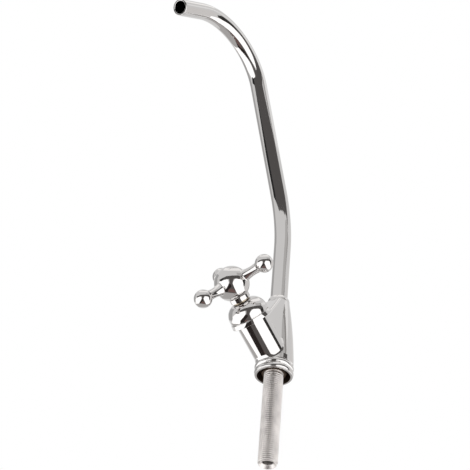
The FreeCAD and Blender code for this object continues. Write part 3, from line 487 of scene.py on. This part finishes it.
def bump(tree, shader, height, distance, strength=1.0):
    """Gives the shader's surface fine relief."""
    node = tree.nodes.new("ShaderNodeBump")
    node.inputs["Distance"].default_value = distance
    node.inputs["Strength"].default_value = strength
    tree.links.new(height, node.inputs["Height"])
    tree.links.new(node.outputs["Normal"], shader.inputs["Normal"])


def foot_cup_shade_mask(tree):
    """1 on the inside of the cup under the foot, where the chrome gives way to bare brass darkened as painted
    shade, 0 elsewhere.
    """
    place = tree.nodes.new("ShaderNodeTexCoord")
    parts = tree.nodes.new("ShaderNodeSeparateXYZ")
    tree.links.new(place.outputs["Object"], parts.inputs[0])
    across, along, height = parts.outputs
    squares = [maths(tree, "MULTIPLY", part, part) for part in (across, along)]
    near = maths(tree, "LESS_THAN", maths(tree, "SQRT", total(tree, *squares)), CUP_RADIUS)
    low = maths(tree, "LESS_THAN", height, CUP_TOP)
    return maths(tree, "MULTIPLY", near, low)


def make_chrome(colours):
    """Bright plating with faint smudges and traces of polishing, and inside the foot dull brown bare brass,
    made far darker than brass as painted shade in the cup.
    """
    material, tree, shader = new_finish("polished chrome", colours.chrome, 1, 0.04)
    inside = foot_cup_shade_mask(tree)
    gloss = spread(tree, noise(tree, 55, detail=5), 0.025, 0.075)
    tree.links.new(total(tree, gloss, maths(tree, "MULTIPLY", inside, 0.5)), shader.inputs["Roughness"])
    smudges = spread(tree, noise(tree, 30), 0, 1)
    tint = tinted(tree, smudges, colours.chrome, shade_of(colours.chrome, 0.96))
    # Painted shade: the inside of the cup gets the dark brown colour in place of chrome.
    tree.links.new(tinted(tree, inside, tint, colours.unplated_in_shade), shader.inputs["Base Color"])
    bump(tree, shader, noise(tree, 160, detail=2), 0.004 * MM)
    return material


def make_nickel(colours):
    """Dull plating of the shank, uneven in tone, with fine tool marks."""
    material, tree, shader = new_finish("dull nickel", colours.nickel, 1, 0.33)
    stain = spread(tree, noise(tree, 130, detail=5), 0, 1)
    tint = tinted(tree, stain, shade_of(colours.nickel, 0.82), shade_of(colours.nickel, 1.08))
    tree.links.new(tint, shader.inputs["Base Color"])
    tree.links.new(spread(tree, noise(tree, 400, detail=4), 0.3, 0.5), shader.inputs["Roughness"])
    bump(tree, shader, noise(tree, 2500, detail=2), 0.01 * MM, 0.6)
    return material


def make_shaded_brass(colours):
    """Turned brass with tool marks round it, its colour darkened below bare brass as painted shade for the
    valve parts between the handle's collar and the bonnet.
    """
    material, tree, shader = new_finish("turned brass", colours.brass, 1, 0.28)
    stain = spread(tree, noise(tree, 200, detail=4), 0, 1)
    # The darkened base colour is painted shade; the stain's spread is the brass's own uneven tone.
    tint = tinted(tree, stain, shade_of(colours.brass, 0.8), colours.brass)
    tree.links.new(tint, shader.inputs["Base Color"])
    marks = noise(tree, 1500, detail=2, stretch=(0.2, 0.2, 1.4))
    tree.links.new(spread(tree, marks, 0.2, 0.36), shader.inputs["Roughness"])
    bump(tree, shader, marks, 0.01 * MM, 0.5)
    return material


def make_rubber(colours):
    """Matt black seal with a fine grain and a dusty bloom."""
    material, tree, shader = new_finish("seal rubber", colours.rubber, 0, 0.55)
    bloom = spread(tree, noise(tree, 260, detail=5), 0, 1)
    tint = tinted(tree, bloom, colours.rubber, shade_of(colours.rubber, 2.2))
    tree.links.new(tint, shader.inputs["Base Color"])
    tree.links.new(spread(tree, noise(tree, 700), 0.45, 0.65), shader.inputs["Roughness"])
    bump(tree, shader, noise(tree, 3500, detail=2), 0.015 * MM, 0.5)
    return material


def make_ceramic(colours):
    """Lapped ceramic with faint grey specks."""
    material, tree, shader = new_finish("lapped ceramic", colours.ceramic, 0, 0.14)
    specks = spread(tree, noise(tree, 2600, detail=4), 0, 1)
    tint = tinted(tree, specks, shade_of(colours.ceramic, 0.9), colours.ceramic)
    tree.links.new(tint, shader.inputs["Base Color"])
    tree.links.new(spread(tree, noise(tree, 300), 0.1, 0.2), shader.inputs["Roughness"])
    bump(tree, shader, noise(tree, 1500), 0.002 * MM, 0.4)
    return material


def make_plastic(colours):
    """Moulded bearing plastic with a soft sheen."""
    material, tree, shader = new_finish("bearing plastic", colours.plastic, 0, 0.36)
    cloud = spread(tree, noise(tree, 180), 0, 1)
    tint = tinted(tree, cloud, shade_of(colours.plastic, 0.93), colours.plastic)
    tree.links.new(tint, shader.inputs["Base Color"])
    tree.links.new(spread(tree, noise(tree, 600), 0.3, 0.45), shader.inputs["Roughness"])
    bump(tree, shader, noise(tree, 2000, detail=2), 0.01 * MM, 0.4)
    return material


def make_steel(colours):
    """Spring steel with fine brushed marks."""
    material, tree, shader = new_finish("spring steel", colours.steel, 1, 0.25)
    marks = noise(tree, 1800, stretch=(1, 0.15, 1))
    tint = tinted(tree, marks, shade_of(colours.steel, 0.8), colours.steel)
    tree.links.new(tint, shader.inputs["Base Color"])
    tree.links.new(spread(tree, marks, 0.18, 0.34), shader.inputs["Roughness"])
    bump(tree, shader, marks, 0.006 * MM, 0.5)
    return material


FINISHES = {
    "polished_chrome": make_chrome,
    "shank_nickel": make_nickel,
    "raw_brass": make_shaded_brass,
    "seal_rubber": make_rubber,
    "disc_ceramic": make_ceramic,
    "bearing_plastic": make_plastic,
    "spring_steel": make_steel,
}
# The finishes once they are made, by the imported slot's name
MADE = {}


class FAUCET_OT_finishes(bpy.types.Operator):
    """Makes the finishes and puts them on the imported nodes"""

    bl_idname = "faucet.finishes"
    bl_label = "Make finishes"

    def execute(self, context):
        for slot, make in FINISHES.items():
            MADE[slot] = make(context.scene.faucet_finishes)
        for name, node in FRAME["nodes"].items():
            for slot in node.material_slots:
                packed = slot.material.name.split(".")[0]
                if packed not in MADE:
                    raise RuntimeError(f"{name} has no finish for {packed}")
                slot.material = MADE[packed]
        return {"FINISHED"}


# Spout


def bent_tube_tree():
    """Tree that bends a straight upright tube along three runs and the two arcs between them."""
    sizes = ("Foot", "Riser", "Lean radius", "Lean angle", "Middle", "Hook radius", "Hook angle", "Tip")
    tree, given = new_shape_tree("bent tube", sizes)
    foot, riser, lean_radius, lean, middle, hook_radius, hook, tip = (given.outputs[name] for name in sizes)
    place = tree.nodes.new("GeometryNodeInputPosition")
    split = tree.nodes.new("ShaderNodeSeparateXYZ")
    tree.links.new(place.outputs[0], split.inputs[0])
    across, outward, along = split.outputs

    def times(one, other):
        """Product of two values."""
        return maths(tree, "MULTIPLY", one, other)

    def less(one, other):
        """Difference of two values."""
        return maths(tree, "SUBTRACT", one, other)

    def share(start, length):
        """How much of a run the station has passed."""
        return maths(tree, "MINIMUM", maths(tree, "MAXIMUM", less(along, start), 0.0), length)

    lean_length, hook_length = times(lean_radius, lean), times(hook_radius, hook)
    lean_start = total(tree, foot, riser)
    middle_start = total(tree, lean_start, lean_length)
    hook_start = total(tree, middle_start, middle)
    tip_start = total(tree, hook_start, hook_length)
    first = maths(tree, "DIVIDE", share(lean_start, lean_length), lean_radius)
    second = maths(tree, "DIVIDE", share(hook_start, hook_length), hook_radius)
    turned_to = total(tree, first, second)
    sine, cosine = maths(tree, "SINE", turned_to), maths(tree, "COSINE", turned_to)
    upright = maths(tree, "MINIMUM", along, lean_start)
    run, end_run = share(middle_start, middle), maths(tree, "MAXIMUM", less(along, tip_start), 0.0)
    lean_sine, lean_cosine = maths(tree, "SINE", lean), maths(tree, "COSINE", lean)
    after_lean = total(tree, lean, second)
    forward = total(
        tree,
        times(lean_radius, less(1.0, maths(tree, "COSINE", first))),
        times(run, lean_sine),
        times(hook_radius, less(lean_cosine, maths(tree, "COSINE", after_lean))),
        times(end_run, sine),
    )
    rise = total(
        tree,
        upright,
        times(lean_radius, maths(tree, "SINE", first)),
        times(run, lean_cosine),
        times(hook_radius, less(maths(tree, "SINE", after_lean), lean_sine)),
        times(end_run, cosine),
    )
    joined = tree.nodes.new("ShaderNodeCombineXYZ")
    tree.links.new(across, joined.inputs[0])
    tree.links.new(less(times(outward, cosine), forward), joined.inputs[1])
    tree.links.new(total(tree, rise, times(outward, sine)), joined.inputs[2])
    bend = tree.nodes.new("GeometryNodeSetPosition")
    tree.links.new(given.outputs["Geometry"], bend.inputs["Geometry"])
    tree.links.new(joined.outputs[0], bend.inputs["Position"])
    close_shape_tree(tree, given, bend.outputs["Geometry"])
    return tree


class FAUCET_OT_spout(bpy.types.Operator):
    """Makes the bent spout tube with its rounded mouth"""

    bl_idname = "faucet.spout"
    bl_label = "Make spout"

    around = 96
    station_step = MM
    foot_edge = 0.15 * MM

    def execute(self, context):
        sizes = context.scene.faucet_spout
        length = sizes.riser + sizes.lean_radius * sizes.lean_angle + sizes.middle
        length += sizes.hook_radius * sizes.hook_angle + sizes.tip
        low, high = TUBE_LOW.z, TUBE_LOW.z + length
        inner = TUBE_RADIUS - sizes.wall
        outline = rounded([
            (inner, low, self.foot_edge), (TUBE_RADIUS, low, self.foot_edge),
            (TUBE_RADIUS, high, sizes.lip), (inner, high, sizes.lip),
        ])
        tube = piece_from("bent_spout", turned(divided(outline, self.station_step), self.around))
        apply_shape_tree(tube, bent_tube_tree(), {
            "Foot": low, "Riser": sizes.riser, "Middle": sizes.middle, "Tip": sizes.tip,
            "Lean radius": sizes.lean_radius, "Lean angle": sizes.lean_angle,
            "Hook radius": sizes.hook_radius, "Hook angle": sizes.hook_angle,
        }, MADE["polished_chrome"])
        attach(tube, "spout")
        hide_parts("spout_tube")
        return {"FINISHED"}


# Shank

# Steps in a turn of the thread, half its crest by its pitch, and how deep its root sinks by its depth
THREAD_STEPS = 48
CREST_SHARE = 0.09
ROOT_SHARE = 0.1


def thread_tree():
    """Tree that winds a ridge round the shank and joins it to the turned core."""
    sizes = ("Radius", "Depth", "Pitch", "Low", "High")
    tree, given = new_shape_tree("wound thread", sizes)
    radius, depth, pitch, low, high = (given.outputs[name] for name in sizes)
    height = maths(tree, "SUBTRACT", high, low)
    root = maths(tree, "SUBTRACT", radius, depth)
    helix = tree.nodes.new("GeometryNodeCurveSpiral")
    helix.inputs["Resolution"].default_value = THREAD_STEPS
    link_value(tree, helix.inputs["Rotations"], maths(tree, "DIVIDE", height, pitch))
    link_value(tree, helix.inputs["Start Radius"], root)
    link_value(tree, helix.inputs["End Radius"], root)
    link_value(tree, helix.inputs["Height"], height)
    lift = tree.nodes.new("GeometryNodeTransform")
    up = tree.nodes.new("ShaderNodeCombineXYZ")
    tree.links.new(low, up.inputs["Z"])
    tree.links.new(up.outputs[0], lift.inputs["Translation"])
    tree.links.new(helix.outputs["Curve"], lift.inputs["Geometry"])
    level = tree.nodes.new("GeometryNodeSetCurveNormal")
    level.mode = "Z_UP"
    tree.links.new(lift.outputs["Geometry"], level.inputs["Curve"])
    ridge = tree.nodes.new("GeometryNodeCurvePrimitiveQuadrilateral")
    ridge.mode = "POINTS"
    half_root, half_crest = (maths(tree, "MULTIPLY", pitch, share) for share in (0.5, CREST_SHARE))
    sunk = maths(tree, "MULTIPLY", depth, -ROOT_SHARE)
    corners = ((sunk, -1, half_root), (depth, -1, half_crest), (depth, 1, half_crest), (sunk, 1, half_root))
    for index, (reach, side, width) in enumerate(corners, start=1):
        corner = tree.nodes.new("ShaderNodeCombineXYZ")
        link_value(tree, corner.inputs["X"], maths(tree, "MULTIPLY", reach, -1.0))
        link_value(tree, corner.inputs["Y"], maths(tree, "MULTIPLY", width, float(side)))
        tree.links.new(corner.outputs[0], ridge.inputs[f"Point {index}"])
    sweep = tree.nodes.new("GeometryNodeCurveToMesh")
    sweep.inputs["Fill Caps"].default_value = True
    tree.links.new(level.outputs["Curve"], sweep.inputs["Curve"])
    tree.links.new(ridge.outputs["Curve"], sweep.inputs["Profile Curve"])
    join = tree.nodes.new("GeometryNodeJoinGeometry")
    tree.links.new(given.outputs["Geometry"], join.inputs["Geometry"])
    tree.links.new(sweep.outputs["Mesh"], join.inputs["Geometry"])
    close_shape_tree(tree, given, join.outputs["Geometry"])
    return tree


class FAUCET_OT_shank(bpy.types.Operator):
    """Makes the shank's bored core and winds its thread"""

    bl_idname = "faucet.shank"
    bl_label = "Make shank"

    around = 96
    longest_side = 8 * MM
    mouth_edge = 0.05 * MM
    top_edge = 0.2 * MM

    def execute(self, context):
        sizes = context.scene.faucet_shank
        low, high = SHANK_LOW.z, SHANK_HIGH.z
        root = SHANK_RADIUS - sizes.depth
        bore, mouth = sizes.bore / 2, sizes.countersink / 2
        groove_top = sizes.thread_top + sizes.groove
        outline = rounded([
            (mouth, low, self.mouth_edge), (root, low, FINE_EDGE), (root, groove_top, 0),
            (SHANK_RADIUS, groove_top, FINE_EDGE), (SHANK_RADIUS, high, self.top_edge),
            (bore, high, FINE_EDGE), (bore, low + sizes.countersink_depth, FINE_EDGE),
        ])
        shank = piece_from("wound_shank", turned(divided(outline, self.longest_side), self.around))
        apply_shape_tree(shank, thread_tree(), {
            "Radius": SHANK_RADIUS, "Depth": sizes.depth, "Pitch": sizes.pitch,
            "Low": low + sizes.chamfer, "High": sizes.thread_top,
        }, MADE["shank_nickel"])
        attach(shank, "faucet_body")
        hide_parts("threaded_shank")
        return {"FINISHED"}


# Bonnet


class FAUCET_OT_bonnet(bpy.types.Operator):
    """Makes the domed bonnet with its bead and fine groove"""

    bl_idname = "faucet.bonnet"
    bl_label = "Make bonnet"

    around = 160
    dome_steps = 24
    longest_side = 4 * MM
    seat_drop = 1.7 * MM
    bead_taper = 0.25 * MM
    groove_edge = 0.08 * MM
    side_edge = 0.15 * MM
    hole_edge = 0.05 * MM
    inner_edge = MM

    def execute(self, context):
        sizes = context.scene.faucet_bonnet
        side, bead, hole = sizes.side / 2, sizes.bead / 2, sizes.hole / 2
        bead_top = sizes.start + sizes.bead_height
        groove_bottom = side - sizes.groove
        top = sizes.dome_start + sizes.dome
        flat = side - sizes.dome
        edge = sizes.groove / 2
        dome = []
        last_turn = math.asin(min(1, (hole - flat) / sizes.dome))
        for step in range(self.dome_steps + 1):
            turn = math.pi / 2 + (last_turn - math.pi / 2) * step / self.dome_steps
            reach, rise = sizes.dome * math.sin(turn), sizes.dome * math.cos(turn)
            dome.append((flat + reach, sizes.dome_start + rise, 0))
        inner = side - sizes.wall
        groove_top, seat = bead_top + sizes.groove, top - self.seat_drop
        outline = divided(rounded([
            (inner, sizes.start, FINE_EDGE), (bead, sizes.start, edge),
            (bead - self.bead_taper, bead_top, edge),
            (groove_bottom, bead_top, self.groove_edge), (groove_bottom, groove_top, self.groove_edge),
            (side, groove_top, self.side_edge), *dome, (hole, seat, self.hole_edge),
            (flat + sizes.dome / 2, seat, self.inner_edge), (inner, sizes.dome_start, self.inner_edge),
        ]), self.longest_side)
        bonnet = piece_from("turned_bonnet", turned(outline, self.around))
        place_on_barrel(bonnet)
        bonnet.data.materials.append(MADE["polished_chrome"])
        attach(bonnet, "faucet_body")
        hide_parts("bonnet")
        return {"FINISHED"}


# Stage

# Each card has its colour, its strength, and pairs of places on the disc of a polished ball that mirrors it.
# Places are given right and down from the disc's middle. Later cards stand in front of earlier ones.
CARDS = {
    "low_card": ((1, 0.98, 0.97), 0.56, [
        ((-0.86, 0.4), (0.45, 0.42)), ((-0.74, 0.58), (0.5, 0.62)), ((-0.5, 0.84), (0.45, 0.85)),
    ]),
    "left_edge_card": ((1, 1, 1), 0.5, [
        ((-0.84, -0.5), (-0.72, -0.44)), ((-0.94, -0.3), (-0.8, -0.26)), ((-0.99, 0), (-0.8, 0)),
        ((-0.91, 0.38), (-0.76, 0.33)),
    ]),
    "right_edge_card": ((1, 0.98, 0.97), 0.85, [
        ((0.76, -0.22), (0.95, -0.22)), ((0.74, 0.1), (0.98, 0.1)), ((0.7, 0.5), (0.84, 0.5)),
    ]),
    "web_soft_box": ((1, 1, 1), 1.05, [
        ((0.56, -0.42), (0.88, -0.38)), ((0.5, -0.56), (0.78, -0.54)),
    ]),
    "tube_shade": ((1, 0.99, 0.98), 0.6, [
        ((0.3, -0.48), (0.58, -0.42)), ((0.24, -0.62), (0.5, -0.58)),
    ]),
    "tube_line": ((1, 0.97, 0.95), 0.38, [
        ((0.57, -0.43), (0.64, -0.41)), ((0.49, -0.57), (0.56, -0.57)),
    ]),
    "top_soft_box": ((1, 0.99, 0.98), 1.25, [
        ((-0.5, -0.72), (0.55, -0.72)), ((-0.4, -0.86), (0.42, -0.86)),
    ]),
    "left_soft_box": ((1, 1, 1), 1.7, [
        ((-0.74, 0.53), (-0.42, 0.46)), ((-0.76, 0.42), (-0.33, 0.36)), ((-0.76, 0.2), (-0.2, 0.2)),
        ((-0.78, 0.08), (-0.19, 0.05)), ((-0.63, -0.13), (-0.17, -0.08)), ((-0.45, -0.21), (-0.24, -0.26)),
    ]),
    "left_soft_edge": ((1, 1, 1), 0.95, [
        ((-0.84, 0.52), (-0.72, 0.53)), ((-0.86, 0.42), (-0.74, 0.42)),
    ]),
    "right_soft_box": ((1, 1, 1), 1.7, [
        ((0.4, 0.66), (0.6, 0.6)), ((0.22, 0.45), (0.7, 0.4)), ((0.14, 0.22), (0.66, 0.2)),
        ((0.045, 0), (0.66, 0)), ((0.07, -0.12), (0.63, -0.15)), ((0.2, -0.29), (0.5, -0.26)),
    ]),
    "dark_band": ((1, 0.95, 0.93), 0.115, [
        ((-0.44, -0.2), (-0.5, -0.31)), ((-0.22, -0.25), (-0.3, -0.41)), ((0, -0.24), (0, -0.45)),
        ((0.2, -0.28), (0.3, -0.46)), ((0.45, -0.25), (0.6, -0.42)), ((0.62, -0.16), (0.72, -0.28)),
    ]),
    "left_band_end": ((1, 1, 1), 0.03, [((-0.6, -0.11), (-0.7, -0.19)), ((-0.44, -0.2), (-0.5, -0.31))]),
    "right_bar": ((1, 0.95, 0.93), 0.045, [
        ((0.58, -0.17), (0.72, -0.28)), ((0.63, -0.02), (0.74, -0.05)), ((0.64, 0.15), (0.7, 0.14)),
    ]),
    "dark_stem": ((1, 0.93, 0.9), 0.13, [
        ((-0.16, -0.3), (0.12, -0.3)), ((-0.13, -0.05), (0.045, -0.05)), ((-0.17, 0.02), (0.06, 0.03)),
        ((-0.24, 0.15), (0.12, 0.17)), ((-0.31, 0.27), (0.17, 0.28)), ((-0.4, 0.45), (0.28, 0.54)),
    ]),
    "brown_card": ((1, 0.62, 0.57), 0.2, [
        ((-0.16, 0.28), (0.09, 0.28)), ((-0.2, 0.43), (0.21, 0.5)),
    ]),
    "black_card": ((1, 0.8, 0.75), 0.03, [
        ((-0.17, 0.01), (-0.05, 0.03)), ((-0.24, 0.15), (-0.02, 0.16)), ((-0.29, 0.24), (-0.1, 0.24)),
        ((-0.36, 0.34), (-0.2, 0.34)), ((-0.39, 0.45), (-0.24, 0.47)),
    ]),
}
CARD_PARTS = 16


def camera_axes(studio):
    """Right, up and back directions of the camera."""
    back = Vector((
        math.sin(studio.azimuth) * math.cos(studio.elevation),
        -math.cos(studio.azimuth) * math.cos(studio.elevation),
        math.sin(studio.elevation),
    ))
    level = Vector((math.cos(studio.azimuth), math.sin(studio.azimuth), 0))
    upward = level.cross(-back)
    right = math.cos(studio.roll) * level + math.sin(studio.roll) * upward
    up = math.cos(studio.roll) * upward - math.sin(studio.roll) * level
    return right, up, back


def mirrored_by_ball(place, axes):
    """Direction that a polished ball shows at a place on its disc, given right and down from its middle."""
    across, down = place
    facing = Vector((across, -down, math.sqrt(max(0, 1 - across * across - down * down))))
    bounced = 2 * facing.z * facing - Vector((0, 0, 1))
    return sum((part * axis for part, axis in zip(bounced, axes)), Vector())


def emitting(name, colour, strength):
    """Plain emitting material."""
    material = bpy.data.materials.new(name)
    material.use_nodes = True
    tree = material.node_tree
    tree.nodes.clear()
    light = tree.nodes.new("ShaderNodeEmission")
    light.inputs["Color"].default_value = (*colour, 1)
    light.inputs["Strength"].default_value = strength
    result = tree.nodes.new("ShaderNodeOutputMaterial")
    tree.links.new(light.outputs[0], result.inputs["Surface"])
    return material


def studio_card(name, rungs, material, axes, middle, reach):
    """Card that covers the pairs of places on a polished ball at the given middle."""
    bm = bmesh.new()
    steps = [part / CARD_PARTS for part in range(CARD_PARTS + 1)]
    rungs = [(Vector(first), Vector(second)) for first, second in rungs]
    pairs = [rungs[0]]
    for (first, second), (next_first, next_second) in zip(rungs, rungs[1:]):
        pairs += [(first.lerp(next_first, step), second.lerp(next_second, step)) for step in steps[1:]]
    rows = []
    for first, second in pairs:
        places = [first.lerp(second, step) for step in steps]
        rows.append([bm.verts.new(middle + reach * mirrored_by_ball(place, axes)) for place in places])
    for lower, upper in zip(rows, rows[1:]):
        for column in range(CARD_PARTS):
            bm.faces.new((lower[column], lower[column + 1], upper[column + 1], upper[column]))
    mesh = bpy.data.meshes.new(name)
    bm.to_mesh(mesh)
    bm.free()
    mesh.materials.append(material)
    card = bpy.data.objects.new(name, mesh)
    bpy.context.scene.collection.objects.link(card)
    card.visible_camera = False
    card.visible_shadow = False


def surroundings(studio):
    """World that is white to the camera, pale grey to reflections and a soft light to dull surfaces."""
    world = bpy.data.worlds.new("surroundings")
    world.use_nodes = True
    tree = world.node_tree
    background = tree.nodes["Background"]
    background.inputs["Color"].default_value = (1, 1, 1, 1)
    path = tree.nodes.new("ShaderNodeLightPath")
    seen = maths(tree, "MAXIMUM", path.outputs["Is Camera Ray"], path.outputs["Is Transmission Ray"])
    mirrored = maths(tree, "MULTIPLY", path.outputs["Is Glossy Ray"], studio.pale_light)
    dull = maths(tree, "SUBTRACT", 1.0, maths(tree, "MAXIMUM", seen, path.outputs["Is Glossy Ray"]))
    lit = maths(tree, "MULTIPLY", dull, studio.fill_light)
    tree.links.new(total(tree, seen, mirrored, lit), background.inputs["Strength"])
    bpy.context.scene.world = world


def floor_material():
    """Pale floor that only shows from above, so that it hides nothing from a camera below it."""
    material = bpy.data.materials.new("pale floor")
    material.use_nodes = True
    tree = material.node_tree
    shader = tree.nodes["Principled BSDF"]
    shader.inputs["Base Color"].default_value = (0.86, 0.86, 0.86, 1)
    shader.inputs["Roughness"].default_value = 0.9
    path = tree.nodes.new("ShaderNodeLightPath")
    side = tree.nodes.new("ShaderNodeNewGeometry")
    clear = tree.nodes.new("ShaderNodeBsdfTransparent")
    mix = tree.nodes.new("ShaderNodeMixShader")
    shown = maths(tree, "SUBTRACT", path.outputs["Is Camera Ray"], side.outputs["Backfacing"])
    tree.links.new(maths(tree, "MAXIMUM", shown, 0.0), mix.inputs["Fac"])
    tree.links.new(clear.outputs[0], mix.inputs[1])
    tree.links.new(shader.outputs[0], mix.inputs[2])
    tree.links.new(mix.outputs[0], tree.nodes["Material Output"].inputs["Surface"])
    return material


class FAUCET_OT_stage(bpy.types.Operator):
    """Sets the camera, the cards, the surroundings and the floor"""

    bl_idname = "faucet.stage"
    bl_label = "Set stage"

    aim = Vector((0, 0, 100 * MM))
    cards_middle = Vector((0, -20 * MM, 70 * MM))
    card_reach = 1.6
    card_layer = 0.015
    floor_drop = 0.5 * MM

    def execute(self, context):
        scene = context.scene
        studio = scene.faucet_studio
        scene.view_settings.view_transform = "Standard"
        axes = camera_axes(studio)
        right, up, back = axes
        lens = bpy.data.cameras.new("camera")
        lens.sensor_width = SENSOR_WIDTH
        lens.lens = studio.focal / PHOTO_SIDE * SENSOR_WIDTH
        camera = bpy.data.objects.new("camera", lens)
        place = self.aim + studio.distance * back - right * studio.aside[0] - up * studio.aside[1]
        turn = Matrix((right, up, back)).transposed().to_4x4()
        camera.matrix_world = Matrix.Translation(place) @ turn
        scene.collection.objects.link(camera)
        scene.camera = camera

        for layer, (name, (colour, strength, rungs)) in enumerate(CARDS.items()):
            reach = self.card_reach * (1 - self.card_layer * layer)
            light = emitting(name, colour, strength)
            studio_card(name, rungs, light, axes, self.cards_middle, reach)

        surroundings(studio)
        half = studio.floor_side / 2
        floor_mesh = bpy.data.meshes.new("floor")
        height = FRAME_BOX[0].z - self.floor_drop
        signs = ((-1, -1), (1, -1), (1, 1), (-1, 1))
        corners = [(across * half, along * half, height) for across, along in signs]
        floor_mesh.from_pydata(corners, [], [(0, 1, 2, 3)])
        floor_mesh.materials.append(floor_material())
        floor = bpy.data.objects.new("floor", floor_mesh)
        scene.collection.objects.link(floor)
        return {"FINISHED"}


# Panel and registration


class FAUCET_PT_pieces(bpy.types.Panel):
    """Lists the faucet's steps in the order they are run"""

    bl_idname = "FAUCET_PT_pieces"
    bl_label = "Filter faucet"
    bl_space_type = "VIEW_3D"
    bl_region_type = "UI"
    bl_category = "Faucet"

    def draw(self, context):
        for step in STEPS:
            self.layout.operator(step.bl_idname)


SETTINGS = {
    "faucet_finishes": FinishSettings,
    "faucet_spout": SpoutSettings,
    "faucet_shank": ShankSettings,
    "faucet_bonnet": BonnetSettings,
    "faucet_studio": StudioSettings,
}
STEPS = (FAUCET_OT_finishes, FAUCET_OT_spout, FAUCET_OT_shank, FAUCET_OT_bonnet, FAUCET_OT_stage)


def register():
    """Registers the settings, the steps and the panel."""
    for name, group in SETTINGS.items():
        bpy.utils.register_class(group)
        setattr(bpy.types.Scene, name, PointerProperty(type=group))
    for step in STEPS:
        bpy.utils.register_class(step)
    bpy.utils.register_class(FAUCET_PT_pieces)


def unregister():
    """Takes out what register put in."""
    bpy.utils.unregister_class(FAUCET_PT_pieces)
    for step in reversed(STEPS):
        bpy.utils.unregister_class(step)
    for name, group in reversed(SETTINGS.items()):
        delattr(bpy.types.Scene, name)
        bpy.utils.unregister_class(group)


def main():
    """Runs the steps in order."""
    register()
    for step in STEPS:
        group, name = step.bl_idname.split(".")
        getattr(getattr(bpy.ops, group), name)()


if __name__ == "__main__":
    main()
